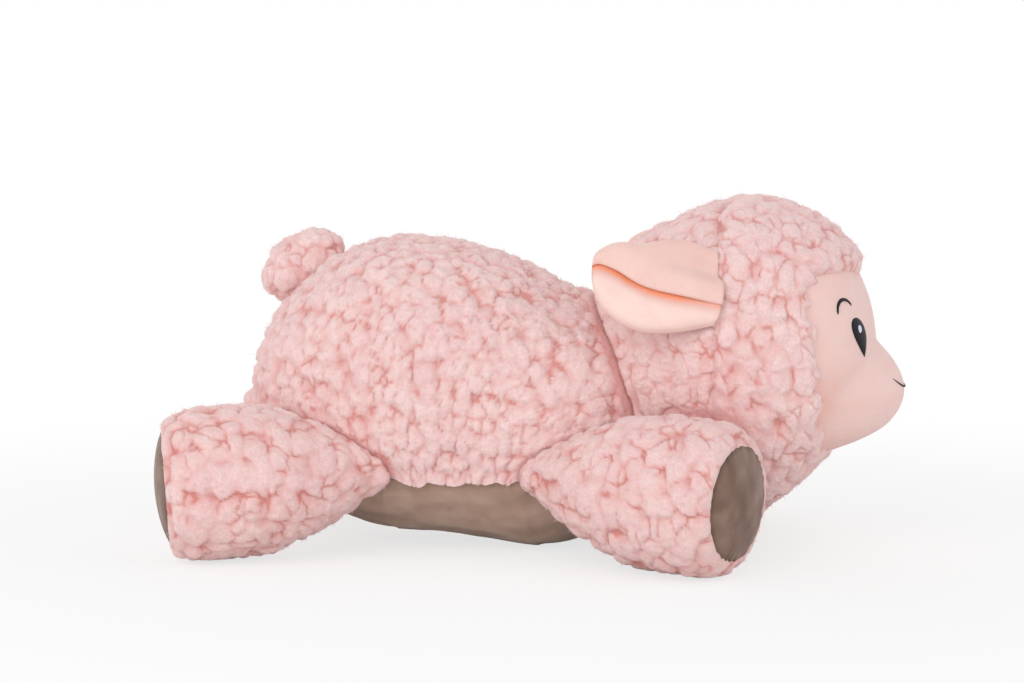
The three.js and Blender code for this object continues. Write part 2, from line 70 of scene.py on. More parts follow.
def addCamera():
    azimuth, elevation = math.radians(view["azimuth"]), math.radians(view["elevation"])
    away = Vector((math.sin(azimuth), -math.cos(azimuth), math.tan(elevation))) * math.cos(elevation)
    camera = bpy.data.objects.new("camera", bpy.data.cameras.new("camera"))
    camera.data.sensor_width = view["sensor"]
    camera.data.lens = view["sensor"] * view["distance"] / view["frameWidth"]
    camera.data.clip_start, camera.data.clip_end = (edge * mm for edge in view["clip"])
    camera.location = (Vector(view["aim"]) + away * view["distance"]) * mm
    camera.rotation_euler = (-away).to_track_quat("-Z", "Y").to_euler()
    bpy.context.collection.objects.link(camera)
    bpy.context.scene.camera = camera


addCamera()
print("camera set")


# Stuffed forms, as in the frame. swell, keel, plan and girth say how square the back, the underside,
# the plan and the section are: 2 is an ellipse.
loaf = {
    "x": -65, "z": 74, "back": 70, "front": 105, "half": 68, "up": 69, "down": 68,
    "swell": 1.85, "keel": 2, "plan": 3, "girth": 2.4,
}
chest = {"x": 0, "z": 60, "radius": 60.5, "half": 63, "girth": 2.4}
head = {
    "x": 95, "z": 91, "back": 74, "front": 64.5, "half": 66, "up": 72, "down": 72, "swell": 2.15,
    "girth": 2.2, "chinTuck": 28, "chinPower": 1.25,
}
muzzle = {"z": 60, "reach": 23.5, "half": 40, "up": 38, "down": 19, "round": 1.3}
seams = {
    "belly": 36, "ear": 86, "earFade": (-0.6, 1.2), "faceLow": 133, "faceHigh": 121, "faceTurn": 85,
    "fringe": 132, "chin": 46, "corner": 14, "napeRise": 5, "faceRise": 4.5, "tuck": 0.4,
}
joint = {"gap": 0.7, "blend": 6, "bellyBlend": 3, "far": 170}


def smoothMin(a, b, width):
    # the lesser of two, rounded where they come within width of each other
    share = np.clip(0.5 + 0.5 * (b - a) / width, 0, 1)
    return b + (a - b) * share - width * share * (1 - share)


def smoothStep(low, high, value):
    share = np.clip((value - low) / (high - low), 0, 1)
    return share * share * (3 - 2 * share)


def ovalShare(a, b, power):
    # how far out a place lies in a superellipse whose half axes are 1: 0 in its middle, 1 on its line
    return (a ** power + b ** power) ** (1 / power)


def least(fields, p):
    return np.min([field(p) for field in fields], 0)


def unit(way):
    return way / np.maximum(np.linalg.norm(way, axis=-1, keepdims=True), 1e-9)


def loafField(p, grow=0.0):
    # how far outside the loaf a point lies: its distance past the section's superellipse at its station
    x, y, z = p[..., 0] - loaf["x"], np.abs(p[..., 1]), p[..., 2] - loaf["z"]
    reach = np.where(x > 0, loaf["front"], loaf["back"]) + grow
    station = np.abs(x) / reach
    left = np.clip(1 - station ** loaf["swell"], 1e-5, 1)
    width = (loaf["half"] + grow) * left ** (1 / loaf["plan"])
    above = (loaf["up"] + grow) * left ** (1 / loaf["swell"])
    below = (loaf["down"] + grow) * left ** (1 / loaf["keel"])
    rise = np.where(z > 0, above, below)
    share = ovalShare(y / width, np.abs(z) / rise, loaf["girth"])
    return np.maximum((share - 1) * np.minimum(width, rise), (station - 1) * reach)


def chestField(p, grow=0.0):
    # distance from the line across the chest, less the barrel's radius at that place on the line
    across = np.clip(np.abs(p[..., 1]) / (chest["half"] + grow), 0, 1)
    radius = (chest["radius"] + grow) * (1 - across ** chest["girth"]) ** (1 / chest["girth"])
    distance = np.hypot(p[..., 0] - chest["x"], p[..., 2] - chest["z"])
    return np.maximum(distance - radius, np.abs(p[..., 1]) - chest["half"] - grow)


def underbellyField(p, grow=0.0):
    # the belly between the two: the lower half of a section that runs straight from the loaf's to the chest's
    t = np.clip((p[..., 0] - loaf["x"]) / (chest["x"] - loaf["x"]), 0, 1)
    z = loaf["z"] + t * (chest["z"] - loaf["z"])
    width = loaf["half"] + t * (chest["half"] - loaf["half"]) + grow
    rise = loaf["down"] + t * (chest["radius"] - loaf["down"]) + grow
    share = ovalShare(np.abs(p[..., 1]) / width, np.abs(p[..., 2] - z) / rise, loaf["girth"])
    ends = np.maximum(loaf["x"] - p[..., 0], p[..., 0] - chest["x"])
    return np.maximum((share - 1) * np.minimum(width, rise), np.maximum(ends, p[..., 2] - z))


def bodyField(p, grow=0.0):
    whole = smoothMin(loafField(p, grow), chestField(p, grow), joint["blend"])
    return smoothMin(whole, underbellyField(p, grow), joint["bellyBlend"])


def headSection(y, z, rise=0.0):
    # share of the section's superellipse that a place on the head takes, 1 at its widest ring
    tall = np.where(z > head["z"], head["up"], head["down"]) - rise
    return ovalShare(np.abs(y) / (head["half"] - rise), np.abs(z - head["z"]) / tall, head["girth"])


def sectionRadius(angle):
    # radius of the head's widest section in a direction round its middle
    return 1 / headSection(np.cos(angle), head["z"] + np.sin(angle))


def chinShift(z):
    # the chin is pulled back below the middle of the head, by a power of the distance
    return -head["chinTuck"] * (np.maximum(0, head["z"] - z) / head["down"]) ** head["chinPower"]


def headField(p, rise=0.0, grow=0.0):
    # distance past the superellipse that runs from the section's share forwards or back. It is pulled in by
    # rise at the section and the front, and let out by grow all round
    x, y, z = p[..., 0] - head["x"], p[..., 1], p[..., 2]
    share = headSection(y, z, rise - grow)
    left = np.clip(1 - share ** head["swell"], 0, 1)
    shift = np.sqrt(left) * chinShift(z) * (x > 0)
    reach = np.where(x > 0, head["front"] - rise + grow, head["back"] + grow)
    return (ovalShare(share, np.abs(x - shift) / reach, head["swell"]) - 1) * np.minimum(head["half"], reach)


def muzzleRise(y, z):
    # a smooth bulge: reach times one less the squared distance from its middle, to a power
    tall = np.where(z > muzzle["z"], muzzle["up"], muzzle["down"])
    out = np.hypot(y / muzzle["half"], (z - muzzle["z"]) / tall)
    return muzzle["reach"] * np.clip(1 - out ** 2, 0, 1) ** muzzle["round"]


def faceReach(y, z):
    # the face is a surface over the plane across the head: how far forward it lies at a place
    left = np.clip(1 - headSection(y, z, seams["faceRise"]) ** head["swell"], 0, 1)
    shift = chinShift(z) + muzzleRise(y, z)
    front = head["front"] - seams["faceRise"]
    return head["x"] + front * left ** (1 / head["swell"]) + np.sqrt(left) * shift


# Legs: a root at each joint's place and a foot that lies on the ground
leg = {
    "radius": 34, "pad": 24, "rim": 16, "dome": 4, "swellShare": 0.8, "flat": 0.5,
    "front": {"root": 10, "footX": 100, "footY": 97}, "hind": {"root": 9, "footX": -159, "footY": 87},
}


def jointOf(child):
    return next(found for found in frame["joints"] if found["child"] == child)


def jointPlace(child):
    return np.array(jointOf(child)["pos_m"]) / mm


def swung(p, child, degrees):
    # points turned about the child's joint: what lies along its line stays, the rest goes round it
    axis, pivot = np.array(jointOf(child)["axis"], float), jointPlace(child)
    c, s = math.cos(math.radians(degrees)), math.sin(math.radians(degrees))
    rel = p - pivot
    return pivot + c * rel + s * np.cross(axis, rel) + (1 - c) * (rel @ axis)[..., None] * axis


def throughRange(field, child, sign=1):
    # the least of a field at rest and at the joint's limits. With sign 1 the points move with the child
    # through the field, and with sign -1 the field moves with the child past the points
    turns = sorted({0, *jointOf(child)["range_deg"]})
    return lambda p: np.min([field(swung(p, child, sign * turn)) for turn in turns], 0)


def legPlace(kind, side):
    body = f"{kind}_{'right' if side < 0 else 'left'}_leg"
    size = leg[kind]
    pivot = jointPlace(body)
    foot = np.array([size["footX"], side * size["footY"], leg["radius"] - leg["flat"]])
    length = np.linalg.norm(foot - pivot)
    along = (foot - pivot) / length
    across = np.cross(along, [0, 0, 1])
    across /= np.linalg.norm(across)
    return {
        "body": body, "kind": kind, "side": side, "pivot": pivot, "along": along, "length": length,
        "across": across, "up": np.cross(across, along), "root": size["root"],
    }


legPlaces = [legPlace(kind, side) for kind in ("front", "hind") for side in (-1, 1)]


def legRadius(place, s):
    # a quarter sine wave from the root's radius to the leg's, then a rounded rim round the sole
    straight = place["length"] - leg["rim"]
    swell = np.sin(math.pi / 2 * np.clip(s / straight / leg["swellShare"], 0, 1))
    sleeve = place["root"] + (leg["radius"] - place["root"]) * swell
    rim = np.sqrt(np.clip(1 - (np.clip(s - straight, 0, leg["rim"]) / leg["rim"]) ** 2, 0, 1))
    return np.where(s > straight, leg["pad"] + (leg["radius"] - leg["pad"]) * rim, sleeve)


def legField(p, place, grow=0.0):
    # distance outside the sleeve round the leg's line, with a ball round its root and a flat end
    rel = p - place["pivot"]
    s = rel @ place["along"]
    radial = np.sqrt(np.maximum(0, (rel * rel).sum(-1) - s * s))
    sleeve = radial - legRadius(place, np.maximum(s, 0)) - grow
    ball = np.hypot(radial, s) - place["root"] - grow
    return np.maximum(np.where(s < 0, ball, sleeve), s - place["length"] - grow)


tail = {
    "length": 21, "half": 17, "thick": 15, "lean": 34, "reach": 8, "slide": 3, "place": jointPlace("tail"),
    "sunk": 1.5, "room": 2.5, "hold": (1, 17), "count": 110, "spread": 150, "far": 40, "back": 3,
}
lean = math.radians(tail["lean"])
tailUp = np.array([-math.sin(lean), 0, math.cos(lean)])
tailAlong = np.array([math.cos(lean), 0, math.sin(lean)])
tailMiddle = tail["place"] + tailUp * tail["reach"] - tailAlong * tail["slide"]


def tailField(p):
    # distance outside an ellipsoid, by its least half axis
    rel = p - tailMiddle
    parts = rel @ tailAlong / tail["length"], rel[..., 1] / tail["half"], rel @ tailUp / tail["thick"]
    return (np.sqrt(sum(part * part for part in parts)) - 1) * tail["thick"]


# Surfaces: rays go out from inside a form and stop where its field turns positive
def furthest(inside, low, high, halvings=26):
    # halves the span between a value that is inside and one that isn't, and returns the last inside
    for _ in range(halvings):
        middle = (low + high) / 2
        within = inside(middle)
        low, high = np.where(within, middle, low), np.where(within, high, middle)
    return low


def castTo(field, origins, directions, far=joint["far"]):
    near = np.zeros(np.broadcast_shapes(origins.shape, directions.shape)[:-1])
    reach = furthest(lambda t: field(origins + t[..., None] * directions) < 0, near, near + far)
    return origins + reach[..., None] * directions


def outward(field, p, step=0.4):
    # the field's slope, by differences over a short step
    return unit(np.stack([field(p + step * axis) - field(p - step * axis) for axis in np.eye(3)], -1))


def discGrid(count):
    # a square grid pressed into a disc: returns the distance from its middle, 0 to 1, and the angle
    u, v = np.meshgrid(np.linspace(-1, 1, count), np.linspace(-1, 1, count), indexing="ij")
    x, y = u * np.sqrt(1 - v * v / 2), v * np.sqrt(1 - u * u / 2)
    return np.minimum(np.hypot(x, y), 1), np.arctan2(y, x)


def rimOf(grid):
    # the square grid's border in order, as one loop
    return np.concatenate([grid[0, :-1], grid[:-1, -1], grid[-1, :0:-1], grid[:0:-1, 0]])


# Meshes
def outwardFaces(points, faces):
    # a closed skin's faces, all turned over if they enclose a negative volume
    fans = [np.concatenate([f[:, [0, k, k + 1]] for k in range(1, f.shape[1] - 1)]) for f in faces]
    corners = points[np.concatenate(fans)]
    volume = np.einsum("ij,ij->", corners[:, 0], np.cross(corners[:, 1], corners[:, 2]))
    return [f[:, ::-1] for f in faces] if volume < 0 else faces


def makePiece(name, points, faces, flat=()):
    # the flat faces are shaded flat, so walls behind a rim leave the shading of the skin before them alone
    smooth = [np.ones(len(f), bool) for f in faces] + [np.zeros(len(f), bool) for f in flat]
    faces = [*faces, *flat]
    loops = np.concatenate([f.ravel() for f in faces])
    sizes = np.concatenate([np.full(len(f), f.shape[1]) for f in faces])
    mesh = bpy.data.meshes.new(name)
    mesh.vertices.add(len(points))
    mesh.vertices.foreach_set("co", (points * mm).ravel())
    mesh.loops.add(len(loops))
    mesh.loops.foreach_set("vertex_index", loops.astype(np.int32))
    mesh.polygons.add(len(sizes))
    mesh.polygons.foreach_set("loop_start", np.concatenate([[0], np.cumsum(sizes)[:-1]]).astype(np.int32))
    mesh.polygons.foreach_set("use_smooth", np.concatenate(smooth))
    mesh.update(calc_edges=True)
    mesh.validate()
    piece = bpy.data.objects.new(name, mesh)
    bpy.context.collection.objects.link(piece)
    return piece


def loopQuads(here, there):
    return np.stack([here, np.roll(here, -1), np.roll(there, -1), there], 1)


def loopFan(loop, centre):
    return np.stack([loop, np.roll(loop, -1), np.full(len(loop), centre)], 1)


def skinPiece(name, points, skin, hidden, fibres):
    # a closed skin with its hidden walls, and the loose hairs that stand on it, flat shaded like the walls
    turned = outwardFaces(points, [*skin, *hidden])
    skin, flat = turned[:len(skin)], turned[len(skin):]
    if fibres is not None:
        extra, more = fibres
        flat = flat + [part + len(points) for part in outwardFaces(extra, more)]
        points = np.concatenate([points, extra])
    return makePiece(name, points, skin, flat)


def discPiece(name, grid, loops, centre, fibres=None):
    # a square grid whose border goes on through loops of points to a middle point behind it
    count = grid.shape[0]
    index = np.arange(count * count).reshape(count, count)
    skin = np.stack([index[:-1, :-1], index[1:, :-1], index[1:, 1:], index[:-1, 1:]], -1).reshape(-1, 4)
    quads = []
    points, last = [grid.reshape(-1, 3)], rimOf(index)
    total = count * count
    for loop in loops:
        here = total + np.arange(len(loop))
        quads.append(loopQuads(here, last))
        points.append(loop)
        last, total = here, total + len(loop)
    points.append(np.asarray(centre, float)[None])
    return skinPiece(name, np.concatenate(points), [skin], [*quads, loopFan(last[::-1], total)], fibres)


def tubePiece(name, rows, start, end, fibres=None, hidden=(0, 0)):
    # rows of points, each closed on itself, with a point at either end. Some rows at each end may be hidden
    count, around = rows.shape[:2]
    index = np.arange(count * around).reshape(count, around)
    quads = [loopQuads(index[k], index[k + 1]) for k in range(count - 1)]
    first, last = hidden[0], count - 1 - hidden[1]
    fans = [loopFan(index[0][::-1], count * around), loopFan(index[-1], count * around + 1)]
    skin = quads[first:last] + [fan for fan, behind in zip(fans, hidden) if not behind]
    walls = quads[:first] + quads[last:] + [fan for fan, behind in zip(fans, hidden) if behind]
    return skinPiece(name, np.concatenate([rows.reshape(-1, 3), [start], [end]]), skin, walls, fibres)


# Loose fibres: curved hairs that stand out of the pile, each a closed three-sided spike
hairs = {
    "perSquareCm": 8, "length": (0.8, 2.2), "radius": 0.13, "taper": 0.7, "sink": 0.4, "lean": 1.4,
    "curl": 1.2, "stations": 2, "room": (3, 6), "aboveGround": 5, "inCrease": 0.3,
}


def looseHairs(points, normals, weights, area, seed):
    # points and faces of the hairs, whose roots are picked among the given points by weight. A hair's middle
    # line bends by the square of the way along it, and its rings of three points close in a tip
    random = np.random.default_rng(seed)
    count = int(area / 100 * hairs["perSquareCm"])
    chosen = random.choice(len(points), count, p=weights / weights.sum())
    root = points[chosen]
    sway = unit(random.normal(size=(2, count, 3)))
    way = unit(normals[chosen] + hairs["lean"] * sway[0])
    side = unit(np.cross(way, sway[1]))
    other = np.cross(way, side)
    length = random.uniform(*hairs["length"], size=(count, 1))
    rows = []
    for step in range(hairs["stations"]):
        t = step / hairs["stations"]
        centre = root + length * (t * way + hairs["curl"] * t * t * side) - hairs["sink"] * way * (step == 0)
        radius = hairs["radius"] * (1 - t) ** hairs["taper"]
        for corner in range(3):
            turn = 2 * math.pi * corner / 3
            rows.append(centre + radius * (math.cos(turn) * side + math.sin(turn) * other))
    rows.append(root + length * (way + hairs["curl"] * side))
    start = np.arange(count)[:, None] * len(rows)
    last = len(rows) - 4
    quads, tips = [], [start + [2, 1, 0]]
    for corner in range(3):
        after = (corner + 1) % 3
        for here in range(0, last, 3):
            quads.append(start + [here + corner, here + after, here + 3 + after, here + 3 + corner])
        tips.append(start + [last + corner, last + after, len(rows) - 1])
    return np.stack(rows, 1).reshape(-1, 3), [np.concatenate(quads), np.concatenate(tips)]


def inwardLoops(rim, centre, shares=(0.9, 0.5)):
    # copies of a rim, drawn in towards a point behind it
    return [centre + (rim - centre) * share for share in shares]


# Sherpa fleece: curled pile that clumps into soft lobes. Each lobe is a low dome round a scattered point
# that hangs a little and leans its own way. Creases part the lobes here and there, and curls roughen them.
fleece = {
    "lobe": 8.2, "stretch": (1.08, 0.92, 0.85), "stray": 0.9, "bend": 2.6, "bendSize": 8, "wiggle": 0.8,
    "wiggleSize": 2.4, "height": 3.0, "sink": 1.6, "level": 1.02, "rise": 0.75, "dome": 1.4, "hang": 0.6,
    "lean": 0.75, "lift": 0.30, "soft": 8, "crease": 0.085, "creaseDepth": 0.30, "creaseLength": 5.0,
    "creaseWhere": (-0.45, 0.3), "curlSize": 2.3, "curlShare": 0.15, "fineCurls": 0.6,
    # painted shade: how light the surface is painted, by its level, by the lobe's height, by the curls and
    # darker in a crease, with its least, and the light painted on the loose hairs
    "open": 1.07, "paintedLightLobe": 0.5, "paintedLightCurl": 0.1, "paintedShadeCrease": 0.7, "paintedLightLeast": 0.08, "hairShade": 0.92,
    # by a neighbour: where the fleece still sinks, how much of the room it takes, and how dark the painted
    # shade gets there
    "sinkRoom": (0.5, 5), "roomShare": 0.42, "roomRound": 0.6, "roomEase": 0.1, "shadeRoom": (-0.5, 5),
    "neighbourShade": 0.35,
}


def scattered(cells, seed):
    # three numbers from 0 to 1 for each whole-numbered cell, from its place alone
    h = seed * 2654435761
    for axis, prime in enumerate((73856093, 19349663, 83492791)):
        h = h ^ (cells[..., axis] * prime)
    out = []
    for turn in (0x9E3779B1, 0x85EBCA6B, 0xC2B2AE35):
        h = (h ^ (h >> 15)) * turn & 0xFFFFFFFF
        h = (h ^ (h >> 13)) * 0x27D4EB2F & 0xFFFFFFFF
        out.append(((h ^ (h >> 16)) & 0xFFFFFF) / 0xFFFFFF)
    return np.stack(out, -1)


def smoothNoise(p, seed):
    # numbers at the corners of unit cells, run smoothly from corner to corner, from -1 to 1
    base = np.floor(p).astype(np.int64)
    t = p - base
    t = t * t * (3 - 2 * t)
    total = np.zeros(p.shape[:-1] + (3,))
    for corner in np.ndindex(2, 2, 2):
        weight = np.prod(np.where(np.array(corner) == 1, t, 1 - t), -1)
        total += weight[..., None] * scattered(base + np.array(corner), seed)
    return total * 2 - 1


def lobes(p, seed):
    # heights of the lobes, shared between near ones by distance, and the gap between the nearest two
    base = np.floor(p).astype(np.int64)
    nearest = np.full(p.shape[:-1], 9.0)
    second = nearest.copy()
    total, weights = np.zeros(nearest.shape), np.full(nearest.shape, 1e-9)
    for offset in np.ndindex(3, 3, 3):
        cell = base + (np.array(offset) - 1)
        numbers = scattered(cell, seed)
        way = p - (cell + 0.5 + fleece["stray"] * (numbers - 0.5))
        square = (way * way).sum(-1)
        slope = fleece["lean"] * (2 * numbers[..., [1, 2, 0]] - 1) - np.array([0, 0, fleece["hang"]])
        own = fleece["lift"] * (2 * numbers[..., 0] - 1) + (slope * way).sum(-1) - fleece["dome"] * square
        weight = np.exp(-fleece["soft"] * square)
        total += weight * own
        weights += weight
        distance = np.sqrt(square)
        second = np.minimum(second, np.maximum(nearest, distance))
        nearest = np.minimum(nearest, distance)
    return total / weights, second - nearest


def fleeceRelief(p):
    # height from 0 to about 1, and the painted light level there, from 0 for painted shade in a crease to 1
    # on a lobe
    flat = p.reshape(-1, 3)
    bent = flat + fleece["bend"] * smoothNoise(flat / fleece["bendSize"], 11)
    bent += fleece["wiggle"] * smoothNoise(flat / fleece["wiggleSize"], 12)
    dome, gap = lobes(bent * np.array(fleece["stretch"]) / fleece["lobe"], 1)
    where = smoothStep(*fleece["creaseWhere"], smoothNoise(flat / fleece["creaseLength"], 13)[..., 0])
    crease = where * np.exp(-(gap / fleece["crease"]) ** 2)
    curls = smoothNoise(flat / fleece["curlSize"], 14)[..., 0]
    curls += fleece["fineCurls"] * smoothNoise(flat / (0.5 * fleece["curlSize"]), 15)[..., 0]
    height = fleece["level"] + fleece["rise"] * dome
    height += fleece["curlShare"] * curls - fleece["creaseDepth"] * crease
    paintedLight = fleece["open"] + fleece["paintedLightLobe"] * dome
    paintedLight += fleece["paintedLightCurl"] * curls - fleece["paintedShadeCrease"] * crease
    return height.reshape(p.shape[:-1]), np.clip(paintedLight, fleece["paintedLightLeast"], 1).reshape(p.shape[:-1])


def fleecePoints(p, field, neighbours, piece, border=1.0):
    # raises the lobes from a little inside the form, by at most half the free space to what lies near. The
    # piece gives their size and height as shares, and border falls to 0 where the fleece ends in a seam
    height, paintedLight = fleeceRelief(p / piece["lobeSize"])
    offset = piece["lobeHeight"] * (fleece["height"] * height - fleece["sink"]) * border
    room = np.maximum(least(neighbours, p), 0)
    offset = np.maximum(offset, -fleece["sink"] * smoothStep(*fleece["sinkRoom"], room))
    limit = fleece["roomShare"] * room
    eased = smoothMin(offset, limit, fleece["roomRound"]) - fleece["roomEase"]
    offset = np.where(offset > limit, eased, offset)
    # painted shade: darker where another piece lies near, as shade falls between parts
    shade = paintedLight * (fleece["neighbourShade"] + (1 - fleece["neighbourShade"]) * smoothStep(*fleece["shadeRoom"], room))
    return p + offset[..., None] * outward(field, p), shade


# Materials
def linear(code):
    # an sRGB hex value as linear light
    parts = [int(code[k:k + 2], 16) / 255 for k in (1, 3, 5)]
    return [*(c / 12.92 if c <= 0.04045 else ((c + 0.055) / 1.055) ** 2.4 for c in parts), 1]


def setInputs(tree, node, inputs):
    # each named input gets its value, or a link from the (node, output) that stands for it
    for key, value in inputs.items():
        if isinstance(value, tuple) and isinstance(value[0], bpy.types.Node):
            tree.links.new(value[0].outputs[value[1]], node.inputs[key])
        else:
            node.inputs[key].default_value = value


def addNode(tree, kind, inputs=None, **settings):
    # one node with its own settings, its inputs' values and the links into them
    node = tree.nodes.new(kind)
    for key, value in settings.items():
        setattr(node, key, value)
    setInputs(tree, node, inputs or {})
    return node


def setRamp(node, stops):
    # a ramp's colours, from places and sRGB hex values
    elements = node.color_ramp.elements
    while len(elements) < len(stops):
        elements.new(0.5)
    for element, (place, code) in zip(elements, stops):
        element.position = place
        element.color = linear(code)


def newMaterial(name, surface):
    # a Principled material with values set on its own sockets
    material = bpy.data.materials.new(name)
    material.use_nodes = True
    tree = material.node_tree
    shader = tree.nodes["Principled BSDF"]
    setInputs(tree, shader, surface)
    return material, tree, shader


# Sizes and depths in mm, jitter as a share of the ramp
# ramp colours: painted shade in a crease and on a lobe's side, lit colour on a lobe's middle and tip
sherpaLook = {
    "crease": "#e69d95", "side": "#f1bdb7", "mid": "#f9d5d1", "tip": "#fde5e2",
    "stops": (0.0, 0.22, 0.55, 1.0), "fibreSize": 1.1, "curlSize": 2.4, "patchSize": 28, "fibreDepth": 0.6,
    "curlDepth": 0.5, "jitter": 0.5, "streak": (0.36, 0.62), "streakTint": "#f7ecea", "patchTint": "#f6eef2",
}


def sherpaMaterial():
    # polyester sherpa: matte curled pile that glows a little along its edges, with painted shade that turns
    # redder where the painted light level is low
    look = sherpaLook
    material, tree, shader = newMaterial("sherpaFleece", {
        "Roughness": 0.92, "Sheen Weight": 0.35, "Sheen Roughness": 0.5, "Sheen Tint": linear("#fff0ee"),
        "Specular IOR Level": 0.1, "Subsurface Weight": 0.25, "Subsurface Radius": (1, 0.5, 0.4),
        "Subsurface Scale": 2.5 * mm,
    })
    place = addNode(tree, "ShaderNodeTexCoord"), "Object"
    pile = addNode(tree, "ShaderNodeAttribute", attribute_name="pile"), "Fac"
    curls = addNode(tree, "ShaderNodeTexVoronoi", {
        "Vector": place, "Scale": 1 / (look["curlSize"] * mm), "Smoothness": 0.4,
    }, feature="SMOOTH_F1"), "Distance"
    fibres = addNode(tree, "ShaderNodeTexNoise", {
        "Vector": place, "Scale": 1 / (look["fibreSize"] * mm), "Detail": 4, "Roughness": 0.65,
        "Distortion": 0.6,
    }), "Fac"
    patches = addNode(tree, "ShaderNodeTexNoise", {
        "Vector": place, "Scale": 1 / (look["patchSize"] * mm), "Detail": 2,
    }), "Fac"
    # the painted light level picks the colour, from painted shade in a crease to light on a lobe's tip, and
    # the fibres make that uneven
    jitter = addNode(tree, "ShaderNodeMath", {
        0: fibres, 1: look["jitter"], 2: -look["jitter"] / 2,
    }, operation="MULTIPLY_ADD"), "Value"
    shade = addNode(tree, "ShaderNodeMath", {0: pile, 1: jitter}, operation="ADD"), "Value"
    ramp = addNode(tree, "ShaderNodeValToRGB", {"Fac": shade})
    setRamp(ramp, list(zip(look["stops"], [look[key] for key in ("crease", "side", "mid", "tip")])))
    # wide patches and narrow streaks are tinted a little
    low, high = look["streak"]
    streak = addNode(tree, "ShaderNodeMapRange", {
        "Value": fibres, "From Min": low, "From Max": high,
    }), "Result"
    colour = ramp, "Color"
    for share, code in ((patches, look["patchTint"]), (streak, look["streakTint"])):
        colour = addNode(tree, "ShaderNodeMix", {
            "Factor": share, "A": colour, "B": linear(code),
        }, data_type="RGBA", blend_type="MULTIPLY"), "Result"
    curled = addNode(tree, "ShaderNodeBump", {
        "Height": curls, "Strength": 0.7, "Distance": look["curlDepth"] * mm,
    }, invert=True), "Normal"
    bump = addNode(tree, "ShaderNodeBump", {
        "Height": fibres, "Strength": 0.8, "Distance": look["fibreDepth"] * mm, "Normal": curled,
    }), "Normal"
    setInputs(tree, shader, {"Base Color": colour, "Normal": bump})
    return material


velboaLook = {
    "hairSize": 0.8, "brushSize": 9, "brushShade": 0.36, "hairShade": 0.14, "hairDepth": 0.35,
    "stops": (0.0, 0.5, 1.0),
}


def pileMaterial(name, colours, nap, sheen):
    # velboa: short cut pile, soft and even, with a nap that brushes lighter and darker in patches. The
    # smallest of nap's three shares gives the way in which the hairs lie
    look = velboaLook
    material, tree, shader = newMaterial(name, {
        "Roughness": 0.8, "Sheen Weight": sheen, "Sheen Roughness": 0.45, "Sheen Tint": linear("#ffffff"),
        "Specular IOR Level": 0.2, "Subsurface Weight": 0.1, "Subsurface Radius": (1.0, 0.45, 0.3),
        "Subsurface Scale": 3 * mm,
    })
    place = addNode(tree, "ShaderNodeTexCoord"), "Object"
    pile = addNode(tree, "ShaderNodeAttribute", attribute_name="pile"), "Fac"
    stretch = addNode(tree, "ShaderNodeMapping", {"Vector": place, "Scale": nap}), "Vector"
    hair = addNode(tree, "ShaderNodeTexNoise", {
        "Vector": stretch, "Scale": 1 / (look["hairSize"] * mm), "Detail": 3, "Roughness": 0.6,
    }), "Fac"
    brushed = addNode(tree, "ShaderNodeTexNoise", {
        "Vector": place, "Scale": 1 / (look["brushSize"] * mm), "Detail": 3, "Roughness": 0.6,
    }), "Fac"
    shade = addNode(tree, "ShaderNodeMath", {
        0: brushed, 1: look["brushShade"], 2: -look["brushShade"] / 2,
    }, operation="MULTIPLY_ADD"), "Value"
    shade = addNode(tree, "ShaderNodeMath", {
        0: hair, 1: look["hairShade"], 2: shade,
    }, operation="MULTIPLY_ADD"), "Value"
    # the attribute brings painted shade, and on the belly and soles the cloth's own tone too; hair and nap
    # noise make it uneven
    level = addNode(tree, "ShaderNodeMath", {0: pile, 1: shade}, operation="ADD"), "Value"
    ramp = addNode(tree, "ShaderNodeValToRGB", {"Fac": level})
    setRamp(ramp, list(zip(look["stops"], colours)))
    bump = addNode(tree, "ShaderNodeBump", {
        "Height": hair, "Strength": 0.6, "Distance": look["hairDepth"] * mm,
    }), "Normal"
    setInputs(tree, shader, {"Base Color": (ramp, "Color"), "Normal": bump})
    return material


threadLook = {"ridge": 0.45, "depth": 0.15}


def threadMaterial(name, colour):
    # rayon embroidery thread laid side by side: narrow shiny ridges
    material, tree, shader = newMaterial(name, {
        "Base Color": linear(colour), "Roughness": 0.5, "Specular IOR Level": 0.3,
    })
    # a wave texture repeats every 2 pi / 20 over its scale, once for a ridge and the groove beside it
    ridges = addNode(tree, "ShaderNodeTexWave", {
        "Vector": (addNode(tree, "ShaderNodeTexCoord"), "Object"), "Distortion": 0.6, "Detail": 1,
        "Scale": math.pi / 20 / (threadLook["ridge"] * mm),
    }, bands_direction="Z")
    bump = addNode(tree, "ShaderNodeBump", {
        "Height": (ridges, "Fac"), "Strength": 0.7, "Distance": threadLook["depth"] * mm,
    })
    setInputs(tree, shader, {"Normal": (bump, "Normal")})
    return material


sherpa = sherpaMaterial()
# each ramp runs from a painted shade colour to a lit colour: orange on the face's cheeks and rim and under
# the ear's flap, darkest by the belly's seam and the soles' rims
faceVelboa = pileMaterial("faceVelboa", ("#f0a892", "#efc9c2", "#f6dad6"), (1, 1, 0.4), 0.2)
earVelboa = pileMaterial("earVelboa", ("#fa9766", "#ecc2b9", "#f8dad2"), (0.4, 1, 1), 0.2)
bellyVelboa = pileMaterial("bellyVelboa", ("#8a7264", "#b19685", "#cdb4a3"), (0.4, 1, 1), 0.25)
soleVelboa = pileMaterial("soleVelboa", ("#4f3b30", "#7b6154", "#a08778"), (1, 1, 0.4), 0.25)
blackRayon = threadMaterial("blackRayonThread", "#121015")
paleRayon = threadMaterial("paleRayonThread", "#dcdaf2")
print("materials made")


def dress(piece, material, nodes, body):
    piece.data.materials.append(material)
    if nodes:
        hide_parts(*nodes)
    if isinstance(body, str):
        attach(piece, body)
    else:
        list(body)
        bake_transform(piece)


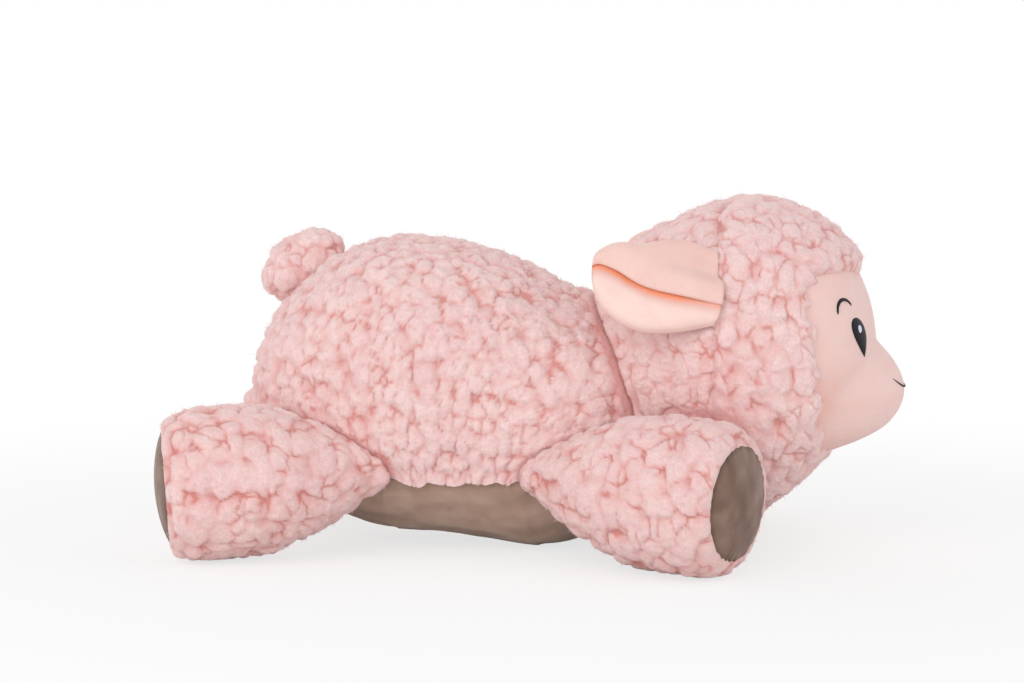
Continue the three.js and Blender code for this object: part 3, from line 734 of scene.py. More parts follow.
def addShadeAndTone(piece, pile, rest=0.0):
    # the ramp's place at each point, in the mesh's order: painted shade, with the cloth's own uneven tone on
    # some pieces. The points after them get rest
    values = np.full(len(piece.data.vertices), rest, np.float32)
    values[:pile.size] = pile.ravel()
    piece.data.attributes.new("pile", "FLOAT", "POINT").data.foreach_set("value", values)


def dressFleece(piece, shade, nodes, body):
    addShadeAndTone(piece, shade, fleece["hairShade"])
    dress(piece, sherpa, nodes, body)


def fleeceHairs(grid, shade, field, seed, room):
    # hairs for a fleece grid: more on the lobes than in the creases, fewer where there is little room, and
    # none by the ground
    sides = [np.linalg.norm(np.diff(grid, axis=axis), axis=-1) for axis in (0, 1)]
    cell = sides[0][:, :-1] * sides[1][:-1, :]
    weights = np.zeros(grid.shape[:2])
    weights[:-1, :-1] = cell * (hairs["inCrease"] + shade[:-1, :-1])
    weights *= (grid[..., 2] > hairs["aboveGround"]) * smoothStep(*hairs["room"], room)
    normals = outward(field, grid).reshape(-1, 3)
    return looseHairs(grid.reshape(-1, 3), normals, weights.ravel(), cell.sum(), seed)


def metres(point):
    return tuple(float(value) * mm for value in point)


# Body: the fleece back is a dome over the belly seam, and the belly is a shallow bowl under it
bodyPiece = {
    "middle": (-37, 0), "plan": (97, 66), "dome": 107, "bowl": 36, "backCount": 256, "bellyCount": 170,
    "seam": 0.15, "tuckShare": 0.012, "lobeSize": 0.84, "lobeHeight": 0.85, "ground": 0.05,
    "hem": 5, "hemDrop": 3.2, "hemOut": 1.0, "hemRoom": (1.5, 5), "lockSize": 6, "lock": 0.6,
    "bellyInset": 0.5, "wrinkle": 1.7, "wrinkleMost": 0.15, "wrinkleSize": (20, 8, 8), "wrinkleFade": (0, 8),
    "pile": 0.5, "pileFolds": 0.22, "pileSpots": 0.12, "spotSize": 5, "seamShade": (-4, 5),
}


def domeDirections(count, height):
    # rays from the middle of the seam plane: the grid's rim lies in it, its middle is height up or down
    share, angle = discGrid(count)
    rise = math.pi / 2 * (1 - share)
    wide, deep = bodyPiece["plan"]
    return unit(np.stack([
        wide * np.cos(angle) * np.cos(rise), deep * np.sin(angle) * np.cos(rise), height * np.sin(rise),
    ], -1))


def addBack():
    middle = np.array([*bodyPiece["middle"], seams["belly"] + bodyPiece["seam"]])
    near = [lambda p, place=place: legField(p, place) for place in legPlaces] + [headField]
    base = castTo(bodyField, middle, domeDirections(bodyPiece["backCount"], bodyPiece["dome"]))
    grid, shade = fleecePoints(base, bodyField, near, bodyPiece)
    # the hem hangs over the seam in uneven locks, except by a leg
    room = least(near, base)
    hem = np.clip(1 - (base[..., 2] - middle[2]) / bodyPiece["hem"], 0, 1) ** 2
    hem *= smoothStep(*bodyPiece["hemRoom"], room)
    locks = bodyPiece["lock"] * (1 + smoothNoise(base / bodyPiece["lockSize"], 21)[..., 0])
    grid += hem[..., None] * bodyPiece["hemOut"] * outward(bodyField, base)
    grid[..., 2] -= hem * bodyPiece["hemDrop"] * locks
    seam = rimOf(base)
    within = seam + (middle - seam) * bodyPiece["tuckShare"]
    fibres = fleeceHairs(grid, shade, bodyField, 31, room)
    piece = discPiece("backFleece", grid, [within, *inwardLoops(within, middle)], middle, fibres)
    dressFleece(piece, shade, ["back_cover", "body_filling"], "body")


def addBelly():
    middle = np.array([*bodyPiece["middle"], seams["belly"] - bodyPiece["seam"]])

    def field(p):
        return np.maximum(bodyField(p, -bodyPiece["bellyInset"]), -p[..., 2])
    base = castTo(field, middle, domeDirections(bodyPiece["bellyCount"], -bodyPiece["bowl"]))
    # soft wrinkles, long from front to back, that fade towards the ground
    folds = smoothNoise(base / np.array(bodyPiece["wrinkleSize"]), 22)[..., 0]
    lift = bodyPiece["wrinkle"] * np.minimum(folds, bodyPiece["wrinkleMost"])
    lift *= smoothStep(*bodyPiece["wrinkleFade"], base[..., 2])
    grid = base + lift[..., None] * outward(bodyField, base)
    grid[..., 2] = np.maximum(grid[..., 2], bodyPiece["ground"])
    piece = discPiece("bellyPanel", grid, inwardLoops(rimOf(grid), middle), middle)
    # painted light and shade: lighter on the wrinkles' ridges, darker in their hollows and by the seam under
    # the fleece's hem; the spots are the cloth's own uneven tone
    spots = smoothNoise(base / bodyPiece["spotSize"], 23)[..., 1]
    pile = bodyPiece["pile"] + bodyPiece["pileFolds"] * folds + bodyPiece["pileSpots"] * spots
    addShadeAndTone(piece, pile * smoothStep(*bodyPiece["seamShade"], middle[2] - base[..., 2]))
    dress(piece, bellyVelboa, ["belly_panel"], "body")


addBack()
addBelly()
print("body made")


# Head: the nape behind the ear seam, the mane before it, and the face let into the mane
headPiece = {
    "napeCount": 230, "maneAround": 430, "maneRows": 84, "faceCount": 190, "neck": (30, 76),
    "lobeSize": 1.05, "lobeHeight": 0.7, "napeSlope": 26, "napeEdge": 0.4, "seamRound": 6, "seamDrop": 1.6,
    "hemRound": 7, "hemDrop": 4.2, "hemWander": 3.0, "hemSize": 5.5, "hemWhere": (-0.3, 0.6),
    "faceTuck": 1.5, "faceDrop": 1.0, "faceFade": 4, "facePile": 0.6, "rimShade": 0.25, "rimWidth": 9,
    "cheekShade": 0.34, "cheek": (45, 70), "cheekSize": (11, 17),
}


def napeField(p):
    # the nape's form less the body. It is pulled in behind the seam, where it comes up to the mane
    pulled = smoothStep(0, headPiece["napeSlope"], seams["ear"] - p[..., 0])
    rise = seams["napeRise"] * (headPiece["napeEdge"] + (1 - headPiece["napeEdge"]) * pulled)
    return np.maximum(headField(p, rise), -bodyField(p, joint["gap"]))


def nearHead(p):
    # distance to the front legs, over the whole of the head's nod
    front = [place for place in legPlaces if place["kind"] == "front"]
    return least([throughRange(lambda p, place=place: legField(p, place), "head") for place in front], p)


def addNape():
    middle = np.array([seams["ear"] + seams["tuck"], 0, head["z"]])
    share, angle = discGrid(headPiece["napeCount"])
    rise = math.pi / 2 * (1 - share)
    way = np.stack([-np.sin(rise), np.cos(rise) * np.cos(angle), np.cos(rise) * np.sin(angle)], -1)
    base = castTo(napeField, middle, way)
    border = smoothStep(*seams["earFade"], middle[0] - base[..., 0])
    grid, shade = fleecePoints(base, napeField, [nearHead, bodyField], headPiece, border)
    fibres = fleeceHairs(grid, shade, headField, 32, bodyField(grid))
    piece = discPiece("napeFleece", grid, inwardLoops(rimOf(grid), middle), middle, fibres)
    neck = [metres((x, 0, head["z"])) for x in headPiece["neck"]]
    dressFleece(piece, shade, ["head_back_cover", "head_filling"], ("body", "head", *neck))


def manePoint(share, angle):
    # the head's surface before its widest section, at a share of that section's radius
    radius = share * sectionRadius(angle)
    y, z = radius * np.cos(angle), head["z"] + radius * np.sin(angle)
    left = np.clip(1 - share ** head["swell"], 0, 1)
    x = head["x"] + head["front"] * left ** (1 / head["swell"]) + np.sqrt(left) * chinShift(z)
    return np.stack([x, y, z], -1)


def faceEdgeX(z):
    # the face's edge stands furthest forward at the cheek and runs back above it
    back = np.clip((z - seams["faceTurn"]) / (seams["fringe"] - seams["faceTurn"]), 0, 1)
    return seams["faceLow"] - (seams["faceLow"] - seams["faceHigh"]) * back ** 1.5


def openingRadius(angle):
    # the mane's surface is followed outwards until it falls back behind the face's edge, or passes the
    # fringe or the chin. The corners between are rounded
    def before(share):
        place = manePoint(share, angle)
        return place[..., 0] > faceEdgeX(place[..., 2])
    sides = furthest(before, np.zeros_like(angle), np.ones_like(angle), 22) * sectionRadius(angle)
    fringe = (seams["fringe"] - head["z"]) / np.maximum(np.sin(angle), 0.05)
    chin = (head["z"] - seams["chin"]) / np.maximum(-np.sin(angle), 0.05)
    return smoothMin(sides, np.minimum(fringe, chin), seams["corner"])


def addMane():
    around = np.linspace(0, 2 * math.pi, headPiece["maneAround"], endpoint=False)
    # the edge round the face wanders inwards in uneven locks
    opening = openingRadius(around)
    rim = np.stack([np.cos(around), np.sin(around), 0 * around], -1) * opening[:, None] / headPiece["hemSize"]
    wander = smoothStep(*headPiece["hemWhere"], smoothNoise(rim, 25)[..., 0])
    edgeShare = (opening - headPiece["hemWander"] * wander) / sectionRadius(around)
    # rows run from the ear seam, behind the head's widest ring, to that edge
    seamX, power = seams["ear"] - seams["tuck"], head["swell"]
    behind = math.asin(((head["x"] - seamX) / head["back"]) ** (power / 2))
    ahead = np.arccos(np.clip(edgeShare ** (power / 2), -1, 1))
    turn = -behind + (ahead[None] + behind) * np.linspace(0, 1, headPiece["maneRows"])[:, None]
    base = manePoint(np.cos(turn) ** (2 / power), np.broadcast_to(around[None], turn.shape))
    reachBack = head["x"] - head["back"] * np.abs(np.sin(turn)) ** (2 / power)
    base[..., 0] = np.where(turn < 0, reachBack, base[..., 0])
    # both edges roll in: a little at the ear seam, more round the face
    seamReach, hemReach = np.abs(base[..., 0] - seamX), np.linalg.norm(base - base[-1:], axis=-1)
    drop = headPiece["seamDrop"] * np.clip(1 - seamReach / headPiece["seamRound"], 0, 1) ** 2
    drop += headPiece["hemDrop"] * np.clip(1 - hemReach / headPiece["hemRound"], 0, 1) ** 2
    base = base - drop[..., None] * outward(headField, base)
    border = smoothStep(*seams["earFade"], seamReach)
    grid, shade = fleecePoints(base, headField, [nearHead], headPiece, border)
    core, seamMiddle = np.array([head["x"], 0, head["z"]]), np.array([seamX, 0, head["z"]])
    walls = inwardLoops(grid[0], seamMiddle, (0.5, 0.93)), inwardLoops(grid[-1], core, (0.93, 0.6))
    rows = np.stack([*walls[0], *grid, *walls[1]])
    fibres = fleeceHairs(grid, shade, headField, 33, nearHead(grid))
    piece = tubePiece("maneFleece", rows, seamMiddle, core + [8, 0, 0], fibres, (2, 2))
    dressFleece(piece, np.pad(shade, ((2, 2), (0, 0))), ["head_front_cover"], "head")


def addFace():
    share, angle = discGrid(headPiece["faceCount"])
    opening = openingRadius(angle)
    radius = share * (opening + headPiece["faceTuck"])
    y, z = radius * np.cos(angle), head["z"] + radius * np.sin(angle)
    within = (1 - share) * opening
    drop = headPiece["faceDrop"] * (1 - smoothStep(0, headPiece["faceFade"], within))
    base = np.stack([faceReach(y, z) - drop, y, z], -1)
    core = np.array([head["x"] + 14, 0, head["z"]])
    piece = discPiece("facePanel", base, inwardLoops(rimOf(base), core, (0.9, 0.6)), core)
    # painted shade: deeper and warmer on the cheeks, as a bell curve round each, and along the rim, where the
    # mane's edge hangs over the face
    (middleY, middleZ), (wide, tall) = headPiece["cheek"], headPiece["cheekSize"]
    cheek = np.exp(-(((np.abs(y) - middleY) / wide) ** 2 + ((z - middleZ) / tall) ** 2))
    rim = 1 - smoothStep(0, headPiece["rimWidth"], within)
    addShadeAndTone(piece, headPiece["facePile"] - headPiece["cheekShade"] * cheek - headPiece["rimShade"] * rim)
    dress(piece, faceVelboa, ["face_panel"], "head")


addNape()
addMane()
addFace()
print("head made")


# Embroidery: figures pushed out from inside the head onto the face, a thread's height above it
stitches = {
    "height": 0.9, "edgeDrop": 0.7, "tuck": 0.2, "behind": 15, "far": 30,
    "eye": {"y": 28.5, "z": 100.5, "turn": 33, "half": 7.4, "high": 9, "lean": 0.34},
    "glint": {"out": 2.2, "up": 4.0, "half": 1.4, "high": 1.9},
    "brow": {"y": 36, "z": 112.3, "turn": 40, "radius": 5.7, "width": 1.5, "from": -8, "to": 152},
    "mouth": {"y": 0, "z": 96, "turn": 0, "radius": 20, "width": 0.75, "from": 230, "to": 310},
    "strokeRise": 0.75, "strokeSink": -0.15, "strokeLeast": 0.05, "strokeFull": 0.4,
}


def onFace(a, b, figure, side, lift):
    # the place on the face in front of a place in the figure's own turned plane, raised by lift
    turn = math.radians(side * figure["turn"])
    out = np.array([math.cos(turn), math.sin(turn), 0])
    right = np.array([-math.sin(turn), math.cos(turn), 0])
    y, z = np.array(side * figure["y"]), np.array(figure["z"])
    start = np.array([faceReach(y, z), y, z]) - stitches["behind"] * out
    start = start + a[..., None] * right + b[..., None] * np.array([0, 0, 1])
    face = castTo(lambda p: p[..., 0] - faceReach(p[..., 1], p[..., 2]), start, out, stitches["far"])
    return face + lift[..., None] * out


def addFilled(name, outline, figure, side, material, node, crown, count, lift=0.0):
    # a filled figure: a disc grid whose rim is the outline, crowned, with its back in the cloth
    share, angle = discGrid(count)
    a, b = outline(angle)
    middleA, middleB = figure.get("middle", (0, 0))
    a, b = middleA + (a - middleA) * share, middleB + (b - middleB) * share
    rise = lift + stitches["height"] * (1 - stitches["edgeDrop"] * share ** 6) + crown * (1 - share ** 2)
    top = onFace(a, b, figure, side, rise)
    # behind it, the rim and the middle again, a little way down in the cloth
    a, b = np.append(rimOf(a), middleA), np.append(rimOf(b), middleB)
    under = onFace(a, b, figure, side, np.full(len(a), lift - stitches["tuck"]))
    piece = discPiece(name, top, [under[:-1]], under[-1])
    dress(piece, material, [node], "head")


def eyeOutline(side):
    # a drop: round above, coming to a point below that leans towards the nose
    eye = stitches["eye"]

    def outline(angle):
        spin = angle + math.pi / 2
        up = -eye["high"] * np.cos(spin)
        return eye["half"] * np.sin(spin) * np.abs(np.sin(spin / 2)) + side * eye["lean"] * up, up
    return outline


def glintOutline(side):
    glint = stitches["glint"]
    return lambda angle: (side * glint["out"] + glint["half"] * np.cos(angle),
                          glint["up"] + glint["high"] * np.sin(angle))


def addStroke(name, figure, side, node, count=60, around=12):
    # a thin roll of satin stitch along an arc, pointed at both ends: its section is a flat half ellipse
    share = np.linspace(0.01, 0.99, count)[:, None]
    spin = np.radians(figure["from"] + (figure["to"] - figure["from"]) * share)
    roll = np.linspace(0, 2 * math.pi, around, endpoint=False)[None]
    half = figure["width"] / 2 * np.sin(math.pi * share) ** 0.6 + stitches["strokeLeast"]
    reach = figure["radius"] + half * np.cos(roll)
    lift = np.maximum(stitches["strokeSink"], stitches["strokeRise"] * np.sin(roll))
    lift = lift * np.minimum(1, half / stitches["strokeFull"]) + stitches["strokeLeast"]
    flip = side if figure["y"] else 1
    rows = onFace(flip * reach * np.cos(spin), reach * np.sin(spin), figure, side, lift)
    piece = tubePiece(name, rows, rows[0].mean(0), rows[-1].mean(0))
    dress(piece, blackRayon, [node], "head")


for sideName, side in (("right", -1), ("left", 1)):
    eye, glint = stitches["eye"], stitches["glint"]
    addFilled(f"{sideName}Eye", eyeOutline(side), eye, side, blackRayon,
              f"{sideName}_eye", 0.5, 60)
    spot = {**eye, "middle": (side * glint["out"], glint["up"])}
    addFilled(f"{sideName}EyeGlint", glintOutline(side), spot, side, paleRayon,
              f"{sideName}_eye_glint", 0.15, 24, 0.75)
    addStroke(f"{sideName}Brow", stitches["brow"], side, f"{sideName}_brow")
addStroke("smile", stitches["mouth"], 1, "mouth")
print("face stitched")


# Legs: sleeves of fleece round an axis, cut by the body, the head and the ground
legPiece = {
    "around": 220, "start": 5, "rootRows": 22, "rootTilt": (175, 95), "sleeveRows": 80, "rimRows": 22,
    "rimTilt": 87, "far": 70, "hold": 30, "lobeSize": 1.1, "lobeHeight": 0.78, "shade": 0.12,
    "hem": (-1.5, 6), "hemGround": (0, 4), "ground": 0.05, "soleFade": (1, -2), "soleOver": 1.8,
    "soleThick": 0.8, "end": 2,
}


def legCut(place):
    # the leg's form less the ground, the body through the leg's splay, and the head through its nod
    def body(p):
        return bodyField(p, joint["gap"])
    splayed = throughRange(body, place["body"])
    nodded = throughRange(lambda p: headField(p, 0, joint["gap"]), "head", -1)

    def field(p):
        atRoot = np.linalg.norm(p - place["pivot"], axis=-1) < place["root"]
        hollow = np.where(atRoot, body(p), splayed(p))
        cut = np.maximum(np.maximum(legField(p, place), -hollow), -p[..., 2])
        return np.maximum(cut, -nodded(p)) if place["kind"] == "front" else cut
    return field


def legRows(place):
    # each row's place along the leg's line, and the angle in degrees between that line and the row's rays
    straight = place["length"] - leg["rim"]
    last = math.degrees(math.atan2(leg["pad"], leg["rim"]))
    rows = [(legPiece["start"], tilt) for tilt in np.linspace(*legPiece["rootTilt"], legPiece["rootRows"])]
    rows += [(s, 90) for s in np.linspace(legPiece["start"], straight, legPiece["sleeveRows"])]
    rows += [(straight, tilt) for tilt in np.linspace(legPiece["rimTilt"], last, legPiece["rimRows"])]
    return np.array(rows)


def addLeg(place):
    field = legCut(place)
    rows = legRows(place)
    s, tilt = rows[:, 0, None, None], np.radians(rows[:, 1, None, None])
    roll = np.linspace(0, 2 * math.pi, legPiece["around"], endpoint=False)[None, :, None]
    side = np.cos(roll) * place["across"] + np.sin(roll) * place["up"]
    way = np.cos(tilt) * place["along"] + np.sin(tilt) * side
    base = castTo(field, place["pivot"] + s * place["along"], way, legPiece["far"])
    along = (base - place["pivot"]) @ place["along"]
    radial = np.linalg.norm(base - place["pivot"] - along[..., None] * place["along"], axis=-1)
    near = [bodyField] + ([throughRange(headField, "head", -1)] if place["kind"] == "front" else [])
    # the fleece starts at the sole's edge and lies flat under it
    hemReach = np.hypot(place["length"] - along, np.maximum(0, radial - leg["pad"])) - legPiece["soleOver"]
    border = smoothStep(*legPiece["hem"], hemReach) * smoothStep(*legPiece["hemGround"], base[..., 2])
    grid, shade = fleecePoints(base, field, near, legPiece, border)
    # painted shade: the legs, lying low, are painted a little darker and pinker than the back
    shade = shade - legPiece["shade"]
    sunk = legPiece["soleThick"] * smoothStep(*legPiece["soleFade"], hemReach)
    grid -= sunk[..., None] * outward(lambda p: legField(p, place), base)
    grid[..., 2] = np.maximum(grid[..., 2], legPiece["ground"])
    end = place["pivot"] + (place["length"] - legPiece["end"]) * place["along"]
    rows = np.stack([*grid, *inwardLoops(grid[-1], end)])
    kind, sideName, _ = place["body"].split("_")
    label = kind + sideName.capitalize() + "Leg"
    room = np.where(hemReach > 0, least(near, grid), 0)
    fibres = fleeceHairs(grid, shade, lambda p: legField(p, place), 34 + legPlaces.index(place), room)
    piece = tubePiece(label + "Fleece", rows, grid[0].mean(0), end, fibres, (0, 2))
    hold = place["pivot"] + legPiece["hold"] * place["along"]
    nodes = [f"{place['body']}_cover", f"{place['body']}_filling"]
    body = "body", place["body"], metres(place["pivot"]), metres(hold)
    dressFleece(piece, np.pad(shade, ((0, 2), (0, 0))), nodes, body)
    addSole(place, label)


solePiece = {
    "count": 70, "pucker": 0.25, "puckers": 26, "lift": 0.48, "edgeDrop": 1.28, "depth": 1.9,
    "underShare": 0.97, "pile": 0.5, "rimShade": 0.35, "rimWhere": (0.88, 1), "mottle": 0.25, "mottleSize": 6,
}


def addSole(place, label):
    # a disc over the sleeve's mouth: a dome that bends with the rim and tucks its edge into the fleece
    share, angle = discGrid(solePiece["count"])
    radius = share * (leg["pad"] + legPiece["soleOver"])
    beyond = np.maximum(0, radius - leg["pad"]) / (leg["radius"] - leg["pad"])
    rise = leg["dome"] * np.clip(1 - (radius / leg["pad"]) ** 2, 0, 1)
    rise -= leg["rim"] * (1 - np.sqrt(1 - beyond ** 2))
    rise += solePiece["lift"] - solePiece["edgeDrop"] * share ** 12
    # puckers run round the edge, here closer and there further apart
    rise += solePiece["pucker"] * np.cos(solePiece["puckers"] * angle + 3 * np.sin(5 * angle)) * share ** 6
    side = np.cos(angle)[..., None] * place["across"] + np.sin(angle)[..., None] * place["up"]
    grid = place["pivot"] + (place["length"] + rise)[..., None] * place["along"] + radius[..., None] * side
    middle = place["pivot"] + (place["length"] - solePiece["depth"]) * place["along"]
    under = middle + (rimOf(grid) - middle) * solePiece["underShare"]
    under -= ((under - middle) @ place["along"])[:, None] * place["along"]
    piece = discPiece(label + "Sole", grid, [under], middle)
    # painted shade darker towards the sole's rim, where it bends away and tucks into the fleece, with the
    # cloth's own mottled tone over it
    pile = solePiece["pile"] - solePiece["rimShade"] * smoothStep(*solePiece["rimWhere"], share)
    addShadeAndTone(piece, pile + solePiece["mottle"] * smoothNoise(grid / solePiece["mottleSize"], 24)[..., 0])
    dress(piece, soleVelboa, [f"{place['body']}_sole"], place["body"])


for place in legPlaces:
    addLeg(place)
print("legs made")


# Tail: a ball of fleece sewn on over the rump
def addTail():
    # the pile of the rump closes round its root
    def field(p):
        return np.maximum(tailField(p), -bodyField(p, -tail["sunk"]))
    share, angle = discGrid(tail["count"])
    rise = math.pi / 2 - math.radians(tail["spread"]) * share
    parts = np.cos(rise) * np.cos(angle), np.cos(rise) * np.sin(angle), np.sin(rise)
    way = sum(part[..., None] * axis for part, axis in zip(parts, (tailAlong, np.array([0, 1, 0]), tailUp)))
    base = castTo(field, tailMiddle, way, tail["far"])
    grid, shade = fleecePoints(base, tailField, [lambda p: bodyField(p, -tail["room"])], legPiece)
    fibres = fleeceHairs(grid, shade, tailField, 39, bodyField(grid))
    piece = discPiece("tailFleece", grid, [], tailMiddle - tail["back"] * tailUp, fibres)
    hold = [metres(tail["place"] + reach * tailUp) for reach in tail["hold"]]
    dressFleece(piece, shade, ["tail_cover", "tail_filling"], ("body", "tail", *hold))


addTail()
print("tail made")


# Ears: a leaf of soft cloth, sewn in behind the mane. Its upper half is folded down over the outside and
# its lower half puffs out under the fold.
earPiece = {
    "length": 55.5, "thick": 3.2, "low": (63, 109), "high": (47.5, 143), "flare": 9, "rows": 76, "arc": 64,
    "rim": 9, "hold": 14, "rootFlat": 0.7, "tipFlat": 0.35, "tipFrom": 0.65, "fold": 6 / 11, "overlap": 3,
    "overlapDepth": (3, 8), "puff": 0.35, "thinnest": 0.25, "fullAt": 18, "pile": 0.62, "linedTo": 0.62,
    "glow": (2.0, 9.5), "glowPile": (0.02, 0.9), "rootGlow": 0.3, "flapShade": 0.1,
    # from root to tip: how far from the ear's middle line the lower hem, the fold and the upper hem lie
    "lowHem": (-18.8, -23.4, -24.0, -18.6, -9.5, 2.6),
    "foldTop": (12.5, 16.5, 13.4, 12.8, 8.6, 4.0),
    "highHem": (-11.1, -8.6, -4.8, 2.2, 5.2, 3.4),
    # the cloth's middle line across the ear: how far up it has come from the hem, first behind the flap and
    # then down the flap, and how far it lies away from the head, at the root and at the tip
    "risen": (0, 0.03, 0.16, 0.38, 0.62, 0.93, 1.0, 0.93, 0.72, 0.48, 0.24, 0),
    "rootDepths": (1.8, 5.0, 7.0, 5.0, 2.4, 1.0, 1.8, 2.6, 3.0, 4.6, 11.2, 10.2),
    "tipDepths": (1.8, 4.6, 6.2, 4.8, 2.6, 1.6, 2.8, 6.4, 9.0, 9.8, 9.4, 8.0),
}


def throughPoints(values, where):
    # a Catmull-Rom curve through values at even steps
    values = np.asarray(values, float)
    padded = np.concatenate([[2 * values[0] - values[1]], values, [2 * values[-1] - values[-2]]])
    place = np.clip(where, 0, 1) * (len(values) - 1)
    step = np.minimum(place.astype(int), len(values) - 2)
    t = place - step
    a, b, c, d = (padded[step + k] for k in range(4))
    return b + t / 2 * (c - a + t * (2 * a - 5 * b + 4 * c - d + t * (3 * (b - c) + d - a)))


def addEar(sideName, side):
    # a frame for the ear: its middle line runs back, the seam runs up along axis, and out leads off the head
    low, high = (np.array([seams["ear"], side * y, z]) for y, z in (earPiece["low"], earPiece["high"]))
    axis, middle = unit(high - low), (low + high) / 2
    outwards = np.array([0, side * axis[2], -side * axis[1]])
    flare = math.radians(earPiece["flare"])
    back = np.array([-math.cos(flare), 0, 0]) + math.sin(flare) * outwards
    out = np.array([math.sin(flare), 0, 0]) + math.cos(flare) * outwards
    step = np.linspace(0, 1, earPiece["rows"])[:, None]
    share = np.sin(math.pi / 2 * step)
    hems = [throughPoints(earPiece[key], step) for key in ("lowHem", "foldTop", "highHem")]
    lowHem, foldTop, highHem = hems
    # the folds lie flatter by the root and at the tip, which closes as an ellipse does, by a fourth power
    rootFlat, tipFlat = earPiece["rootFlat"], earPiece["tipFlat"]
    deep = tipFlat + (1 - tipFlat) * np.sqrt(1 - 0.999 * share ** 4)
    deep *= rootFlat + (1 - rootFlat) * smoothStep(0, 0.3, share)
    tipShare = smoothStep(0, earPiece["tipFrom"], share)

    def midline(where):
        hem = np.where(where < earPiece["fold"], lowHem, highHem)
        rise = hem + (foldTop - hem) * throughPoints(earPiece["risen"], where)
        root, tip = (throughPoints(earPiece[key], where) for key in ("rootDepths", "tipDepths"))
        return rise, ((1 - tipShare) * root + tipShare * tip) * deep

    # round the section: along the outside, round the upper hem, back along the inside, round the lower hem.
    # spin turns from the outside's normal to the inside's
    forth, turn = np.linspace(0, 1, earPiece["arc"]), np.linspace(0, math.pi, earPiece["rim"] + 2)[1:-1]
    where = np.concatenate([forth, np.ones(len(turn)), forth[::-1], np.zeros(len(turn))])[None]
    spin = np.concatenate([0 * forth, turn, 0 * forth + math.pi, turn + math.pi])[None]
    outer, beyond = np.cos(spin), np.sin(spin)
    rise, depth = midline(where)
    (riseOn, depthOn), (riseBack, depthBack) = midline(where + 0.01), midline(where - 0.01)
    lineRise, lineDepth = riseOn - riseBack, depthOn - depthBack
    span = np.maximum(np.hypot(lineRise, lineDepth), 1e-6)
    lineRise, lineDepth = lineRise / span, lineDepth / span
    puff = 1 + earPiece["puff"] * np.sin(math.pi * where) ** 2
    full = np.minimum(1, earPiece["thinnest"] + (foldTop - lowHem) / earPiece["fullAt"])
    thick = earPiece["thick"] / 2 * full * puff
    below = highHem - rise
    rise = rise + thick * (beyond * lineRise - outer * lineDepth)
    depth = depth + thick * (beyond * lineDepth + outer * lineRise)
    # the parts that stand off the head reach forward over the seam
    overlap = earPiece["overlap"] * smoothStep(*earPiece["overlapDepth"], depth) * (1 - share) ** 5
    along = share * earPiece["length"] - overlap
    rows = middle + along[..., None] * back + rise[..., None] * axis + depth[..., None] * out
    piece = tubePiece(f"{sideName}Ear", rows, rows[0].mean(0), rows[-1].mean(0))
    # painted shade: deep orange under the flap's hem, pale below it, a little pinker on the flat part by the
    # root, and a little darker on the flap
    pale = smoothStep(*earPiece["glow"], below) + earPiece["rootGlow"] * smoothStep(0.3, 0, share)
    glowLeast, glowMore = earPiece["glowPile"]
    lining = (outer > 0) & (where < earPiece["linedTo"])
    pile = np.where(lining, glowLeast + glowMore * np.minimum(pale, 1), earPiece["pile"])
    onFlap = (where > 0.5) * smoothStep(0.9, 0.7, where) * smoothStep(0.75, 0.35, share)
    pile -= earPiece["flapShade"] * onFlap
    addShadeAndTone(piece, np.append(pile, [pile[0].mean(), pile[-1].mean()]))
    nodes = [f"{sideName}_ear_outer", f"{sideName}_ear_lining"]
    hold = middle + earPiece["hold"] * back
    dress(piece, earVelboa, nodes, ("head", f"{sideName}_ear", metres(middle), metres(hold)))


addEar("right", -1)
addEar("left", 1)
print("ears made")


# Studio: a pale floor that turns pure white away from the object, a pale sky that is brightest near the
# horizon and three broad, soft lights, so the shading is even
studio = {
    "floor": "#f7f6f5", "floorHalf": 6, "clearFrom": 0.25, "clearTo": 0.6, "clearLeast": 0.72,
    "zenith": 0.52, "horizon": 1.08, "aim": (0, 0, 0.07),
    "lights": {
        "key": {"place": (-0.5, -1.5, 0.9), "size": 1.4, "power": 8.6},
        "fill": {"place": (1.4, -0.9, 0.6), "size": 1.2, "power": 1.7},
        "rim": {"place": (-0.3, 1.3, 1.2), "size": 1.0, "power": 3.0},
    },
}


def rayShare(tree, *names):
    # 1 for the kinds of ray that are named
    path = addNode(tree, "ShaderNodeLightPath")
    share = path, names[0]
    for name in names[1:]:
        share = addNode(tree, "ShaderNodeMath", {0: share, 1: (path, name)}, operation="MAXIMUM"), "Value"
    return share


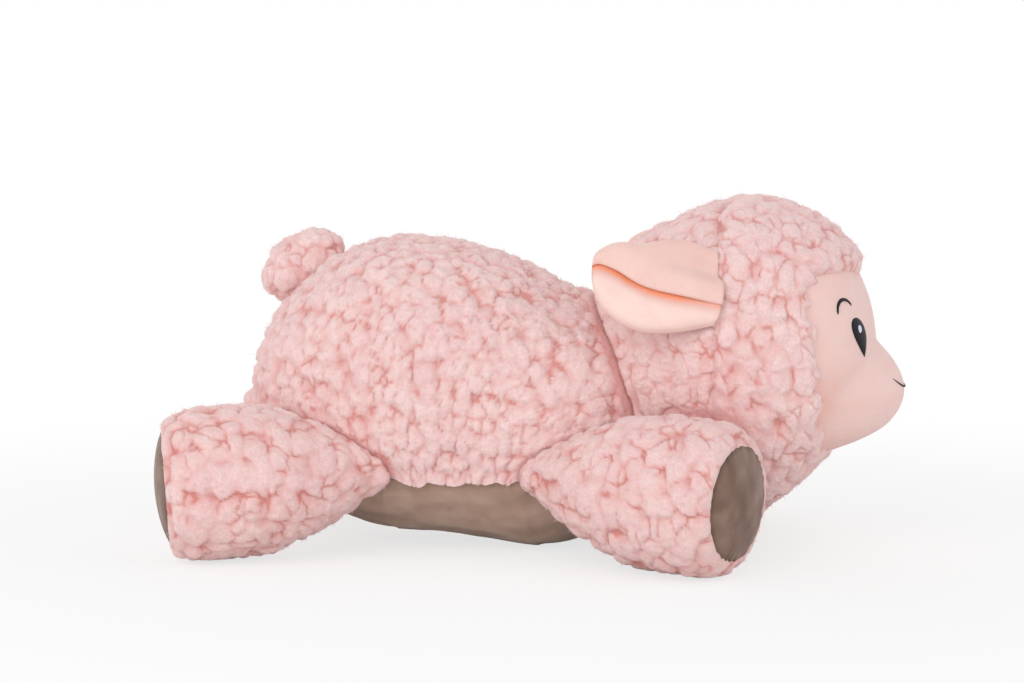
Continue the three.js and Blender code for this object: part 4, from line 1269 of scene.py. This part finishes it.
def addFloor():
    material, tree, shader = newMaterial("studioFloor", {
        "Base Color": linear(studio["floor"]), "Roughness": 1.0, "Specular IOR Level": 0.0,
    })
    glow = addNode(tree, "ShaderNodeEmission", {"Color": (1, 1, 1, 1), "Strength": 1.0})
    place = addNode(tree, "ShaderNodeTexCoord"), "Object"
    reach = addNode(tree, "ShaderNodeVectorMath", {0: place}, operation="LENGTH"), "Value"
    clear = addNode(tree, "ShaderNodeMapRange", {
        "Value": reach, "From Min": studio["clearFrom"], "From Max": studio["clearTo"],
        "To Min": studio["clearLeast"],
    }, interpolation_type="SMOOTHSTEP"), "Result"
    seen = rayShare(tree, "Is Camera Ray")
    share = addNode(tree, "ShaderNodeMath", {0: clear, 1: seen}, operation="MULTIPLY"), "Value"
    mix = addNode(tree, "ShaderNodeMixShader", {"Fac": share, 1: (shader, "BSDF"), 2: (glow, "Emission")})
    setInputs(tree, tree.nodes["Material Output"], {"Surface": (mix, "Shader")})
    mesh = bpy.data.meshes.new("studioFloor")
    half = studio["floorHalf"]
    corners = [(-half, -half, 0), (half, -half, 0), (half, half, 0), (-half, half, 0)]
    mesh.from_pydata(corners, [], [(0, 1, 2, 3)])
    floor = bpy.data.objects.new("studioFloor", mesh)
    mesh.materials.append(material)
    bpy.context.collection.objects.link(floor)


def addLights():
    for name, values in studio["lights"].items():
        light = bpy.data.lights.new(name + "Light", "AREA")
        light.shape, light.size, light.energy = "DISK", values["size"], values["power"]
        lamp = bpy.data.objects.new(name + "Light", light)
        lamp.location = values["place"]
        towards = Vector(studio["aim"]) - Vector(values["place"])
        lamp.rotation_euler = towards.to_track_quat("-Z", "Y").to_euler()
        bpy.context.collection.objects.link(lamp)


def addSky():
    world = bpy.data.worlds.new("studioSky")
    world.use_nodes = True
    tree = world.node_tree
    way = addNode(tree, "ShaderNodeTexCoord")
    parts = addNode(tree, "ShaderNodeSeparateXYZ", {0: (way, "Generated")})
    fall = addNode(tree, "ShaderNodeMapRange", {
        "Value": (parts, "Z"), "To Min": studio["horizon"], "To Max": studio["zenith"],
    })
    seen = rayShare(tree, "Is Camera Ray", "Is Glossy Ray", "Is Transmission Ray")
    inputs = {"Factor": seen, "A": (fall, "Result"), "B": 1.0}
    strength = addNode(tree, "ShaderNodeMix", inputs, data_type="FLOAT")
    setInputs(tree, tree.nodes["Background"], {"Color": (1, 1, 1, 1), "Strength": (strength, "Result")})
    bpy.context.scene.world = world
    bpy.context.scene.view_settings.view_transform = "Standard"


addFloor()
addLights()
addSky()
print("studio lit")
